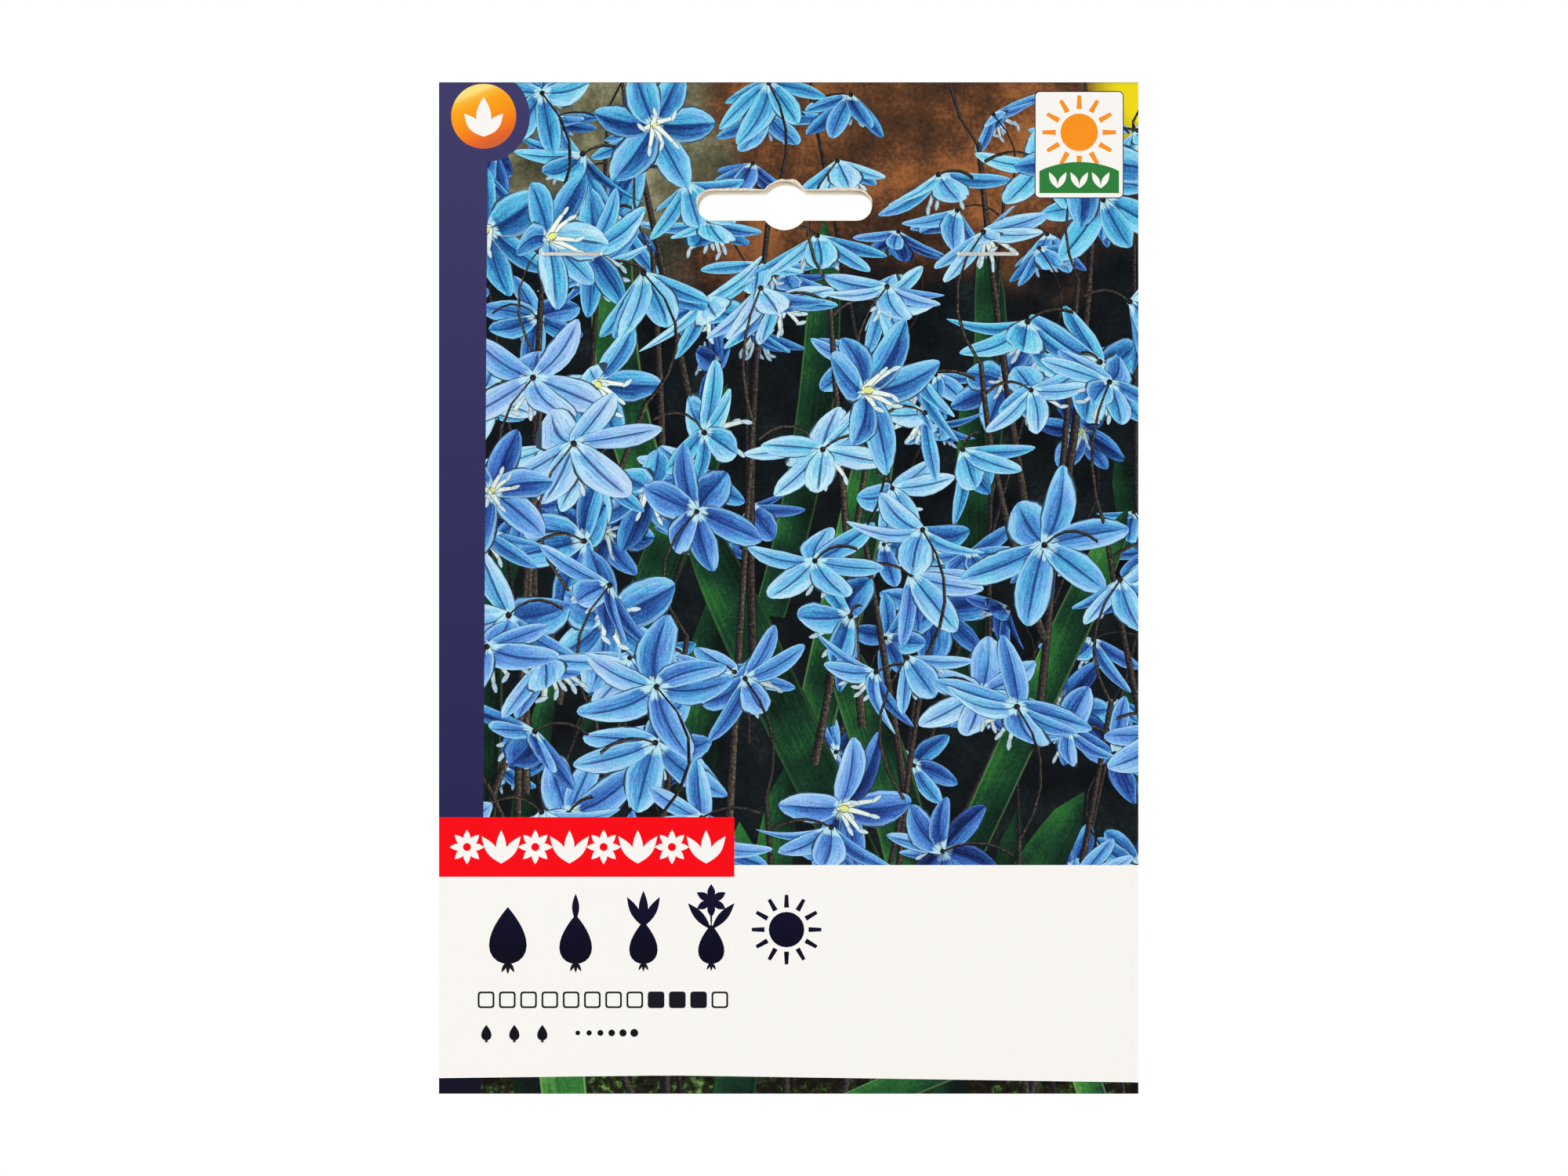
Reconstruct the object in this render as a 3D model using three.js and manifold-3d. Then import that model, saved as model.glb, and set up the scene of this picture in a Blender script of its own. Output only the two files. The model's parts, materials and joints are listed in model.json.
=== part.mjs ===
// A hanging packet of small flower bulbs: a printed board card, folded over at the top, with a hang
// slot punched through both layers. Two wire staples hold the mouth of a clear perforated film bag
// between the card's front panel and its back flap, and fifteen loose bulbs lie in the bag.
//
// Millimetres, +Z up. The card's front face is the plane y = 0 and looks along -Y.
// The origin is the middle of the hang slot, where the peg of a shop display goes through.

import * as THREE from "three";
import { mergeVertices } from "three/addons/utils/BufferGeometryUtils.js";
import Module from "manifold-3d";

const wasm = await Module();
wasm.setup();

// Card
const CARD_WIDTH = 130;
const CARD_HEIGHT = 188;
const BOARD = 0.45; // thickness of the board
const SLOT_DROP = 22.9; // from the folded top edge down to the middle of the slot
const SLOT_LEFT_OF_MIDDLE = 0.8; // the punch sits a little off the card's middle line
const FLAP_HEIGHT = 44;
const CARD_TOP = SLOT_DROP;
const CARD_BOTTOM = CARD_TOP - CARD_HEIGHT;
const FLAP_BOTTOM = CARD_TOP - FLAP_HEIGHT;
const MIDDLE_X = SLOT_LEFT_OF_MIDDLE;

// Hang slot: a long bar with a round eye in its middle
const BAR_LENGTH = 32.4;
const BAR_HEIGHT = 5.5;
const EYE_RADIUS = 4.5;
const FLAP_SLOT_SHIFT = [0.3, -0.7]; // the flap hangs a little low and to the right of the panel

// Staples, of flat wire
const STAPLE_DROP = 9; // below the middle of the slot
const STAPLE_PLACES = { staple_left: -39.5, staple_right: 37.8 };
const CROWN_LENGTH = 11.7;
const WIRE_WIDTH = 0.7; // along the card's height
const WIRE_THICKNESS = 0.5; // through the card
const LEG_CLEARANCE = 0.3; // round each leg, in the holes that it makes
const WIRE_BEND = 0.25;
const CLINCH_LENGTH = 4.4; // how far each leg turns in behind the flap
const CLINCH_SPRING = 0.2; // how far its end stands off the flap

// Film bag
const FILM = 0.4; // wall of the film
const FILM_GAP = 0.3; // between the film and the bulbs that it is pulled over
const MOUTH = 0.6; // the two films together, pinched in the card
const BAG_WIDTH = 112; // as it lies flat
const BAG_TOP = -5.3;
const BAG_BOTTOM = -159;
const BAG_PULLED_IN = 4.7; // how far each side seam is drawn in by the bulbs
const SIDE_SEAM = 4;
const END_SEAM = 6;
const SEAM_LIFT = 10.6; // how far the seams stand off the card, halfway up the bulbs
const PINCHED_TO = FLAP_BOTTOM - 6; // the bag stays flat down to here
const FULL_FROM = -95; // and is as full as it gets from here
const NARROWS_FROM = -137; // down to here, where it closes towards its foot
const FOOT_SHARE = 0.7; // of the lift and the drawing in that is left at the foot
const ACROSS = 22; // steps of the film's grid
const ALONG = 30;
const FILM_FEEL = [-3.2, -1.6, 0, 1.6, 3.2]; // how far round each point the film feels a bulb
const FILM_ROUNDS = 900; // of settling
const VENT_RADIUS = 2.75;
const VENT_COLUMNS = 3;
const VENT_ROWS = 5;
const VENT_PITCH = [27, 25]; // across and down
const VENT_TOP = -36;
const VENT_SIDES = 12;

// Bulbs
const BULB_COUNT = 15;
const BULB_RADIUS = [9.7, 10.9]; // smallest and largest
const BULB_LENGTH = 2.45; // nose to base, in radii
const BULB_SIDES = 16;
const BULB_RINGS = 10;
const BULB_GAP = 0.5; // between neighbours as packed
const RIB_DEPTH = 0.012; // of the radius
const RIBS = 7;
const PACKED_HALF_WIDTH = 44; // of the heap, inside the bag
const PACKED_COLUMNS = 4;
const DROPPED_PITCH = [23, 25]; // across and up, before the bulbs settle
const DROPPED_SPREAD = 2; // either way
const LARGEST_LEAN = 1.3; // of a bulb's nose from upright, in radians, before the bulbs settle
const SEED = 20;

// The flap lies behind the pinched mouth of the bag.
const BACK_OF_PANEL = BOARD;
const FLAP_FRONT = BACK_OF_PANEL + MOUTH;
const FLAP_BACK = FLAP_FRONT + BOARD;
const FRONT_FILM = BACK_OF_PANEL; // the bag lies on the back of the front panel
const BULB_SEAT = FRONT_FILM + FILM + FILM_GAP; // and the bulbs lie on its front film
const BEFORE_CARD = -1; // where a cutter starts
const BEHIND_CARD = FLAP_BACK + 1; // and where it ends
const BEYOND_BAG = 80; // either way

const printedBoard = () => new THREE.MeshStandardMaterial({ color: 0x4f74c9, roughness: 0.45 });

const zincWire = () => new THREE.MeshStandardMaterial({ color: 0xc9c9c4, roughness: 0.3, metalness: 1 });

const clearFilm = () =>
  new THREE.MeshStandardMaterial({
    color: 0xeef3f5,
    roughness: 0.15,
    transparent: true,
    opacity: 0.3,
  });

// The bulbs' dry skins run from purple-brown to light brown.
const papery = (tone) =>
  new THREE.MeshStandardMaterial({
    color: new THREE.Color(0x5a3040).lerp(new THREE.Color(0x8a5a3c), tone),
    roughness: 0.7,
  });

// A repeatable stream of numbers from 0 to 1.
function randomStream(seed) {
  let state = seed >>> 0;
  return () => {
    state = (state + 0x6d2b79f5) >>> 0;
    let mixed = Math.imul(state ^ (state >>> 15), state | 1);
    mixed ^= mixed + Math.imul(mixed ^ (mixed >>> 7), mixed | 61);
    return ((mixed ^ (mixed >>> 14)) >>> 0) / 4294967296;
  };
}

// An even rise from 0 to 1 as the value goes from one place to the other.
function smooth(from, to, value) {
  return THREE.MathUtils.smoothstep((value - from) / (to - from), 0, 1);
}

// A closed three.js geometry as a manifold solid, and back.
function solidOf(geometry) {
  const bare = geometry.clone();
  bare.deleteAttribute("normal");
  bare.deleteAttribute("uv");
  const merged = mergeVertices(bare, 1e-4);
  return new wasm.Manifold(
    new wasm.Mesh({
      numProp: 3,
      vertProperties: new Float32Array(merged.attributes.position.array),
      triVerts: new Uint32Array(merged.index.array),
    }),
  );
}

function geometryOf(solid) {
  const mesh = solid.getMesh();
  const geometry = new THREE.BufferGeometry();
  geometry.setAttribute("position", new THREE.BufferAttribute(mesh.vertProperties, 3));
  geometry.setIndex(new THREE.BufferAttribute(mesh.triVerts, 1));
  geometry.computeVertexNormals();
  return geometry;
}

// An outline drawn in the plane of the card, x and z, carried through from y = near to y = far.
function throughCard(shape, near, far) {
  const geometry = new THREE.ExtrudeGeometry(shape, {
    depth: far - near,
    bevelEnabled: false,
    curveSegments: 12,
  });
  geometry.rotateX(Math.PI / 2); // the outline's y becomes z, and its depth runs towards -Y
  geometry.translate(0, far, 0);
  return geometry;
}

function rectangle(x, z, width, height) {
  return new THREE.Shape([
    new THREE.Vector2(x - width / 2, z - height / 2),
    new THREE.Vector2(x + width / 2, z - height / 2),
    new THREE.Vector2(x + width / 2, z + height / 2),
    new THREE.Vector2(x - width / 2, z + height / 2),
  ]);
}

// The bar with round ends, and the eye where it swells in the middle.
function slotShape() {
  const end = BAR_HEIGHT / 2;
  const straight = BAR_LENGTH / 2 - end;
  const meet = Math.asin(end / EYE_RADIUS); // where the eye's circle crosses the bar's edges
  const shape = new THREE.Shape();
  shape.moveTo(-straight, -end);
  shape.absarc(0, 0, EYE_RADIUS, Math.PI + meet, 2 * Math.PI - meet, false);
  shape.lineTo(straight, -end);
  shape.absarc(straight, 0, end, -Math.PI / 2, Math.PI / 2, false);
  shape.absarc(0, 0, EYE_RADIUS, meet, Math.PI - meet, false);
  shape.lineTo(-straight, end);
  shape.absarc(-straight, 0, end, Math.PI / 2, (3 * Math.PI) / 2, false);
  return shape;
}

// The four holes that the staples' legs pass through.
function legHoles() {
  const reach = (CROWN_LENGTH - WIRE_THICKNESS) / 2;
  const width = WIRE_THICKNESS + 2 * LEG_CLEARANCE;
  const height = WIRE_WIDTH + 2 * LEG_CLEARANCE;
  return Object.values(STAPLE_PLACES)
    .flatMap((place) => [place - reach, place + reach])
    .map((x) => rectangle(x, -STAPLE_DROP, width, height))
    .map((outline) => solidOf(throughCard(outline, BEFORE_CARD, BEHIND_CARD)));
}

// One strip of board: up the front panel, round the fold, and down the flap, extruded along X.
function card() {
  const foldRadius = FLAP_BACK / 2;
  const innerRadius = foldRadius - BOARD;
  const foldHeight = CARD_TOP - foldRadius;
  const strip = new THREE.Shape();
  strip.moveTo(0, CARD_BOTTOM);
  strip.lineTo(BOARD, CARD_BOTTOM);
  strip.absarc(foldRadius, foldHeight, innerRadius, Math.PI, 0, true);
  strip.lineTo(FLAP_FRONT, FLAP_BOTTOM);
  strip.lineTo(FLAP_BACK, FLAP_BOTTOM);
  strip.absarc(foldRadius, foldHeight, foldRadius, 0, Math.PI, false);
  const geometry = new THREE.ExtrudeGeometry(strip, {
    depth: CARD_WIDTH,
    bevelEnabled: false,
    curveSegments: 10,
  });
  // The strip's x becomes y and its y becomes z, so that its depth runs along X.
  geometry.applyMatrix4(
    new THREE.Matrix4().makeBasis(
      new THREE.Vector3(0, 1, 0),
      new THREE.Vector3(0, 0, 1),
      new THREE.Vector3(1, 0, 0),
    ),
  );
  geometry.translate(MIDDLE_X - CARD_WIDTH / 2, 0, 0);
  const betweenLayers = BOARD + MOUTH / 2;
  const panelSlot = throughCard(slotShape(), BEFORE_CARD, betweenLayers);
  const flapSlot = throughCard(slotShape(), betweenLayers, BEHIND_CARD);
  flapSlot.translate(FLAP_SLOT_SHIFT[0], 0, FLAP_SLOT_SHIFT[1]);
  let solid = solidOf(geometry);
  for (const hole of [solidOf(panelSlot), solidOf(flapSlot), ...legHoles()]) {
    solid = solid.subtract(hole);
  }
  return geometryOf(solid);
}

// Flat wire bent into a crown, two legs through the card, and two ends clinched in behind the flap.
// The ends spring back a little from the flap.
function staple() {
  const half = CROWN_LENGTH / 2;
  const inner = half - WIRE_THICKNESS;
  const front = -WIRE_THICKNESS;
  const back = FLAP_BACK + WIRE_THICKNESS;
  const tip = half - CLINCH_LENGTH;
  const outside = [
    [half - WIRE_BEND, front],
    [half, front + WIRE_BEND],
    [half, back - WIRE_BEND],
    [half - WIRE_BEND, back],
  ];
  const inside = [
    [tip, back + CLINCH_SPRING],
    [tip, FLAP_BACK + CLINCH_SPRING],
    [inner - WIRE_BEND, FLAP_BACK],
    [inner, FLAP_BACK - WIRE_BEND],
    [inner, 0],
  ];
  const mirrored = (points) => points.map(([x, y]) => [-x, y]).reverse();
  const outline = [...mirrored(outside), ...outside, ...inside, ...mirrored(inside)];
  const shape = new THREE.Shape(outline.map(([x, y]) => new THREE.Vector2(x, y)));
  const geometry = new THREE.ExtrudeGeometry(shape, { depth: WIRE_WIDTH, bevelEnabled: false });
  geometry.translate(0, 0, -WIRE_WIDTH / 2);
  return geometry;
}

// Half of a bulb's outline, from the root plate to the nose: height in lengths, radius in radii.
const BULB_OUTLINE = new THREE.SplineCurve(
  [
    [0.0, 0.3],
    [0.05, 0.58],
    [0.16, 0.86],
    [0.34, 1.0],
    [0.52, 0.93],
    [0.7, 0.64],
    [0.84, 0.32],
    [0.94, 0.15],
    [1.0, 0.07],
  ].map(([height, radius]) => new THREE.Vector2(height, radius)),
);
const BULB_MIDDLE = 0.38; // the height that is taken as a bulb's middle, in lengths
const BULB_STATIONS = BULB_OUTLINE.getPoints(80);

// The radius of the outline at a height, both as shares, and 0 beyond the ends.
function outlineRadius(height) {
  if (height < 0 || height > 1) return 0;
  const next = BULB_STATIONS.findIndex((station) => station.x >= height);
  if (next <= 0) return BULB_STATIONS[0].y;
  const before = BULB_STATIONS[next - 1];
  const after = BULB_STATIONS[next];
  return THREE.MathUtils.mapLinear(height, before.x, after.x, before.y, after.y);
}

// A bulb standing on its root plate, turned on a lathe and then raised in faint ribs.
function bulb({ radius, length, turn }) {
  const profile = [new THREE.Vector2(0, 0)];
  for (let ring = 0; ring <= BULB_RINGS; ring += 1) {
    const height = 0.5 - 0.5 * Math.cos((Math.PI * ring) / BULB_RINGS);
    profile.push(new THREE.Vector2(radius * outlineRadius(height), length * height));
  }
  profile.push(new THREE.Vector2(0, length));
  const geometry = new THREE.LatheGeometry(profile, BULB_SIDES);
  geometry.deleteAttribute("normal");
  geometry.deleteAttribute("uv");
  const closed = mergeVertices(geometry, 1e-4);
  const place = closed.attributes.position;
  for (let i = 0; i < place.count; i += 1) {
    const angle = Math.atan2(place.getZ(i), place.getX(i));
    const swell = 1 - RIB_DEPTH + RIB_DEPTH * Math.cos(RIBS * angle + turn);
    place.setXYZ(i, place.getX(i) * swell, place.getY(i), place.getZ(i) * swell);
  }
  closed.translate(0, -BULB_MIDDLE * length, 0);
  closed.rotateY(turn);
  closed.computeVertexNormals();
  return closed;
}

// Half the width of the bag's outline at a height: drawn in beside the bulbs.
function halfWidth(z) {
  return BAG_WIDTH / 2 - BAG_PULLED_IN * fullness(z);
}

// How full the bag is at a height: 0 where it is pinched in the card, and 1 beside the bulbs.
function fullness(z) {
  const towardsFoot = THREE.MathUtils.lerp(1, FOOT_SHARE, smooth(NARROWS_FROM, BAG_BOTTOM, z));
  return smooth(PINCHED_TO, FULL_FROM, z) * towardsFoot;
}

// Drops the bulbs into the foot of the bag, in one layer against the card. Each bulb is a row of
// discs along its axis, and discs that overlap push their bulbs apart and turn them.
function packBulbs() {
  const random = randomStream(SEED);
  const either = (most) => most * (2 * random() - 1);
  const floor = BAG_BOTTOM + END_SEAM + 2;
  const heap = Array.from({ length: BULB_COUNT }, (_, i) => {
    const radius = THREE.MathUtils.lerp(...BULB_RADIUS, random());
    const column = (i % PACKED_COLUMNS) - (PACKED_COLUMNS - 1) / 2;
    const row = Math.floor(i / PACKED_COLUMNS);
    const stagger = (row % 2 ? 0.22 : -0.22) * DROPPED_PITCH[0];
    return {
      radius,
      length: radius * BULB_LENGTH * (1 + either(0.05)),
      x: MIDDLE_X + column * DROPPED_PITCH[0] + stagger + either(DROPPED_SPREAD),
      z: floor + (row + 0.5) * DROPPED_PITCH[1] + either(DROPPED_SPREAD),
      lean: either(LARGEST_LEAN),
      turn: random() * 2 * Math.PI,
      tone: random(),
    };
  });
  const discs = [0.17, 0.38, 0.58, 0.75, 0.9].map((height) => ({
    height,
    radius: outlineRadius(height),
  }));
  const placed = (item) =>
    discs.map((disc) => {
      const along = (disc.height - BULB_MIDDLE) * item.length;
      return {
        x: item.x + along * Math.sin(item.lean),
        z: item.z + along * Math.cos(item.lean),
        radius: disc.radius * item.radius,
      };
    });
  const push = (item, at, dx, dz) => {
    item.x += dx;
    item.z += dz;
    const twist = (at.z - item.z) * dx - (at.x - item.x) * dz;
    item.lean += (0.6 * twist) / (item.radius * item.radius);
  };
  const rounds = 2600;
  for (let round = 0; round < rounds; round += 1) {
    const falling = round < rounds * 0.75 ? 0.02 : 0;
    for (const item of heap) item.z -= falling;
    for (let a = 0; a < heap.length; a += 1) {
      for (const disc of placed(heap[a])) {
        const room = PACKED_HALF_WIDTH - disc.radius;
        const off = disc.x - MIDDLE_X;
        const outside = Math.abs(off) - room;
        if (outside > 0) push(heap[a], disc, -Math.sign(off) * outside * 0.5, 0);
        const below = floor + disc.radius - disc.z;
        if (below > 0) push(heap[a], disc, 0, below * 0.5);
      }
      for (let b = a + 1; b < heap.length; b += 1) {
        for (const one of placed(heap[a])) {
          for (const two of placed(heap[b])) {
            const dx = two.x - one.x;
            const dz = two.z - one.z;
            const apart = Math.hypot(dx, dz);
            const overlap = one.radius + two.radius + BULB_GAP - apart;
            if (overlap <= 0) continue;
            const share = (0.25 * overlap) / apart;
            push(heap[a], one, -dx * share, -dz * share);
            push(heap[b], two, dx * share, dz * share);
          }
        }
      }
    }
  }
  return heap;
}

const heap = packBulbs();

// The nearest and furthest y of the bulbs over a point of the card, or null where there are none.
function bulbSpan(x, z) {
  let span = null;
  for (const item of heap) {
    const dx = x - item.x;
    const dz = z - item.z;
    const along = dx * Math.sin(item.lean) + dz * Math.cos(item.lean);
    const across = dx * Math.cos(item.lean) - dz * Math.sin(item.lean);
    const radius = item.radius * outlineRadius(along / item.length + BULB_MIDDLE);
    if (radius <= Math.abs(across)) continue;
    const half = Math.sqrt(radius * radius - across * across);
    const middle = BULB_SEAT + item.radius;
    if (!span) span = { low: middle - half, high: middle + half };
    span.low = Math.min(span.low, middle - half);
    span.high = Math.max(span.high, middle + half);
  }
  return span;
}

// The two films of the bag as heights y over a grid, from seam to seam and from foot to mouth.
// Each is pulled tight over the bulbs: a film that hangs free settles at the mean of its neighbours.
function drapeFilms() {
  const nodes = [];
  for (let j = 0; j <= ALONG; j += 1) {
    for (let i = 0; i <= ACROSS; i += 1) {
      const z = THREE.MathUtils.lerp(BAG_BOTTOM, BAG_TOP, j / ALONG);
      const x = MIDDLE_X + halfWidth(z) * (2 * (i / ACROSS) - 1);
      const inFromSide = halfWidth(z) - Math.abs(x - MIDDLE_X);
      const sealed = inFromSide < SIDE_SEAM || z - BAG_BOTTOM < END_SEAM || z > PINCHED_TO;
      const lift = FRONT_FILM + SEAM_LIFT * fullness(z);
      let low = Infinity;
      let high = -Infinity;
      for (const dx of FILM_FEEL) {
        for (const dz of FILM_FEEL) {
          const span = bulbSpan(x + dx, z + dz);
          if (!span) continue;
          low = Math.min(low, span.low);
          high = Math.max(high, span.high);
        }
      }
      nodes.push({ x, z, sealed, low, high, front: lift, back: lift + MOUTH });
    }
  }
  const at = (i, j) => nodes[j * (ACROSS + 1) + i];
  for (let round = 0; round < FILM_ROUNDS; round += 1) {
    for (let j = 1; j < ALONG; j += 1) {
      for (let i = 1; i < ACROSS; i += 1) {
        const node = at(i, j);
        if (node.sealed) continue;
        const beside = [at(i - 1, j), at(i + 1, j), at(i, j - 1), at(i, j + 1)];
        const mean = (name) => beside.reduce((sum, other) => sum + other[name], 0) / 4;
        node.back = Math.max(mean("back"), node.high + FILM + FILM_GAP, node.front + MOUTH);
        node.front = Math.max(FRONT_FILM, Math.min(mean("front"), node.low - FILM - FILM_GAP));
      }
    }
  }
  return at;
}

// A closed solid between two heights y over a stretch of the film's grid.
function between(at, i0, i1, j0, j1, lowOf, highOf) {
  const wide = i1 - i0 + 1;
  const tall = j1 - j0 + 1;
  const place = [];
  for (const heightOf of [lowOf, highOf]) {
    for (let j = j0; j <= j1; j += 1) {
      for (let i = i0; i <= i1; i += 1) {
        const node = at(i, j);
        place.push(node.x, heightOf(node), node.z);
      }
    }
  }
  const low = (i, j) => (j - j0) * wide + (i - i0);
  const high = (i, j) => wide * tall + low(i, j);
  const faces = [];
  const quad = (a, b, c, d) => faces.push(a, b, c, a, c, d);
  for (let j = j0; j < j1; j += 1) {
    for (let i = i0; i < i1; i += 1) {
      quad(low(i, j), low(i + 1, j), low(i + 1, j + 1), low(i, j + 1));
      quad(high(i, j), high(i, j + 1), high(i + 1, j + 1), high(i + 1, j));
    }
  }
  for (let i = i0; i < i1; i += 1) {
    quad(low(i, j0), high(i, j0), high(i + 1, j0), low(i + 1, j0));
    quad(low(i + 1, j1), high(i + 1, j1), high(i, j1), low(i, j1));
  }
  for (let j = j0; j < j1; j += 1) {
    quad(low(i0, j + 1), high(i0, j + 1), high(i0, j), low(i0, j));
    quad(low(i1, j), high(i1, j), high(i1, j + 1), low(i1, j + 1));
  }
  const geometry = new THREE.BufferGeometry();
  geometry.setAttribute("position", new THREE.Float32BufferAttribute(place, 3));
  geometry.setIndex(faces);
  return solidOf(geometry);
}

// The round holes punched through both films, in staggered rows.
function vents() {
  const holes = [];
  for (let row = 0; row < VENT_ROWS; row += 1) {
    for (let column = 0; column < VENT_COLUMNS; column += 1) {
      const vent = new THREE.CylinderGeometry(VENT_RADIUS, VENT_RADIUS, BEYOND_BAG, VENT_SIDES);
      const stagger = row % 2 ? 0.25 : -0.25;
      const x = MIDDLE_X + (column - (VENT_COLUMNS - 1) / 2 + stagger) * VENT_PITCH[0];
      vent.translate(x, 0, VENT_TOP - row * VENT_PITCH[1]);
      holes.push(solidOf(vent));
    }
  }
  return holes;
}

// The film bag: its outside, less the room inside it, less the vents and the staples' leg holes.
// A crumb of film that the cuts set free is left out.
function bag() {
  const at = drapeFilms();
  const whole = [0, ACROSS, 0, ALONG];
  const inner = [1, ACROSS - 1, 1, ALONG - 1];
  const outside = between(at, ...whole, (node) => node.front, (node) => node.back);
  const underBack = between(at, ...inner, () => -BEYOND_BAG, (node) => node.back - FILM);
  const overFront = between(at, ...inner, (node) => node.front + FILM, () => BEYOND_BAG);
  let solid = outside.subtract(underBack.intersect(overFront));
  for (const hole of [...vents(), ...legHoles()]) solid = solid.subtract(hole);
  const bodies = solid.decompose().sort((a, b) => b.volume() - a.volume());
  return geometryOf(bodies[0]);
}

function named(name, geometry, material) {
  const mesh = new THREE.Mesh(geometry, material);
  mesh.name = name;
  return mesh;
}

const packet = new THREE.Group();
packet.add(named("card", card(), printedBoard()));
packet.add(named("bag", bag(), clearFilm()));

for (const [name, place] of Object.entries(STAPLE_PLACES)) {
  const mesh = named(name, staple(), zincWire());
  mesh.position.set(place, 0, -STAPLE_DROP);
  packet.add(mesh);
}

// A bulb is made along Y. It is stood up along Z, and then leans over in its group.
heap.forEach((item, i) => {
  const mesh = named(`bulb_${String(i + 1).padStart(2, "0")}`, bulb(item), papery(item.tone));
  mesh.rotation.x = Math.PI / 2;
  const leaning = new THREE.Group();
  leaning.rotation.y = item.lean;
  leaning.position.set(item.x, BULB_SEAT + item.radius, item.z);
  leaning.add(mesh);
  packet.add(leaning);
});

export default packet;
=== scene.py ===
import json

import bpy
import numpy as np
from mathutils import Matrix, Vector
from mathutils.geometry import delaunay_2d_cdt

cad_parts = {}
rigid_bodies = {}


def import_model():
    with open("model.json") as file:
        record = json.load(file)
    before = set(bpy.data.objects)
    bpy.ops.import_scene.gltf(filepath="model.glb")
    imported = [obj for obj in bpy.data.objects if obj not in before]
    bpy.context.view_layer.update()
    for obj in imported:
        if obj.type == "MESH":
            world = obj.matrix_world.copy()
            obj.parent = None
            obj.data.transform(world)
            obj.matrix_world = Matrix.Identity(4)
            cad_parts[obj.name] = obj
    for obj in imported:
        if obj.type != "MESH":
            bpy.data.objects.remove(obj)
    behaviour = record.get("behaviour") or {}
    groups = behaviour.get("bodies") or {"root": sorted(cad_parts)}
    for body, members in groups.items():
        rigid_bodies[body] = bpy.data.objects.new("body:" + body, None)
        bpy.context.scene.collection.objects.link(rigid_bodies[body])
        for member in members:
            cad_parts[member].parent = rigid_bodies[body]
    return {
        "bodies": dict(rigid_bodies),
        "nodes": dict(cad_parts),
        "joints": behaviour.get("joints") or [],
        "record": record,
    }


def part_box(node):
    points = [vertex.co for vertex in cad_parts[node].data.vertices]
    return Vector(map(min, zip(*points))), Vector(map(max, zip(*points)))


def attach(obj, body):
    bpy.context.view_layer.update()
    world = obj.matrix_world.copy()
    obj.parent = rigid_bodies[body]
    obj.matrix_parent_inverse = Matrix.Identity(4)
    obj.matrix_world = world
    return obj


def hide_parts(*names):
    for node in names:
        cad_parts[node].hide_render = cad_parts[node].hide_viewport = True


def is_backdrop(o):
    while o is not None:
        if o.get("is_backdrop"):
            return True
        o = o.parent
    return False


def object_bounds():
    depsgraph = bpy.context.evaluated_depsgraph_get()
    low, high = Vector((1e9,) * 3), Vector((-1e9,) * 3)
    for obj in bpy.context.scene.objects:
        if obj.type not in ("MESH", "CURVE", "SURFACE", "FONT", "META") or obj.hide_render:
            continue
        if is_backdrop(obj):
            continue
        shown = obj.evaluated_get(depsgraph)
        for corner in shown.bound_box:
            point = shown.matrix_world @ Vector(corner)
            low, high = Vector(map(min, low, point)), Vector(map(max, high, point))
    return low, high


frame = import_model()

CAD_BOX = [list(corner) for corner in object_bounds()]

# The view. The packet hangs straight before the camera in a white surround, over a pale floor.
# Soft boxes stand to its left and right, before it and behind it. Nothing bright is behind the
# camera, so that the varnish keeps its deep colours.
MM = 0.001
CAMERA_DISTANCE = 1500
CAMERA_X = -0.07
CARD_SHARE = 1290 / 1500  # of the photograph's height
ASPECT = 2000 / 1500
SENSOR = 36
LEFT, _, BOTTOM = (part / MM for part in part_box("card")[0])
RIGHT, CARD_BACK, TOP = (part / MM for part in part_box("card")[1])
MIDDLE = (LEFT + RIGHT) / 2
AIM = Vector((MIDDLE, 0, (BOTTOM + TOP) / 2)) * MM

camera = bpy.data.objects.new("camera", bpy.data.cameras.new("camera"))
camera.data.sensor_width = SENSOR
camera.data.lens = SENSOR * CAMERA_DISTANCE / ((TOP - BOTTOM) / CARD_SHARE * ASPECT)
camera.location = (CAMERA_X * MM, -CAMERA_DISTANCE * MM, AIM.z)
camera.rotation_euler = (np.pi / 2, 0, 0)
bpy.context.scene.collection.objects.link(camera)
bpy.context.scene.camera = camera
bpy.context.scene.view_settings.view_transform = "Standard"


def soft_box(name, place, size, power):
    """A square light at place that faces the card, in metres and watts."""
    light = bpy.data.objects.new(name, bpy.data.lights.new(name, "AREA"))
    light.data.size = size
    light.data.energy = power
    light.location = place
    light.rotation_euler = (AIM - Vector(place)).to_track_quat("-Z", "Y").to_euler()
    bpy.context.scene.collection.objects.link(light)


soft_box("key_left", (-1.1, -1.0, 0.6), 0.8, 15.6)
soft_box("fill_right", (1.2, -0.9, 0.15), 0.9, 10.4)
soft_box("back_left", (-0.9, 1.1, 0.5), 0.6, 10.0)
soft_box("back_right", (1.0, 1.0, 0.1), 0.7, 8.0)


# The board. One strip of grey-brown board with a white clay-coated outside goes up the front, round
# a tight fold, and down behind as a short flap. The slot is punched through both layers, and a cut
# edge shows its pale, fibrous core.
BOARD = 0.45
FOLD_RADIUS = CARD_BACK / 2
FOLD_HEIGHT = TOP - FOLD_RADIUS
FLAP_BOTTOM = -21.1


def colour(red, green, blue):
    """Linear colour of three screen values from 0 to 255, by the screen's own curve."""
    screen = np.array([red, green, blue]) / 255
    linear = np.where(screen > 0.04045, ((screen + 0.055) / 1.055) ** 2.4, screen / 12.92)
    return (*linear.tolist(), 1.0)


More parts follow.
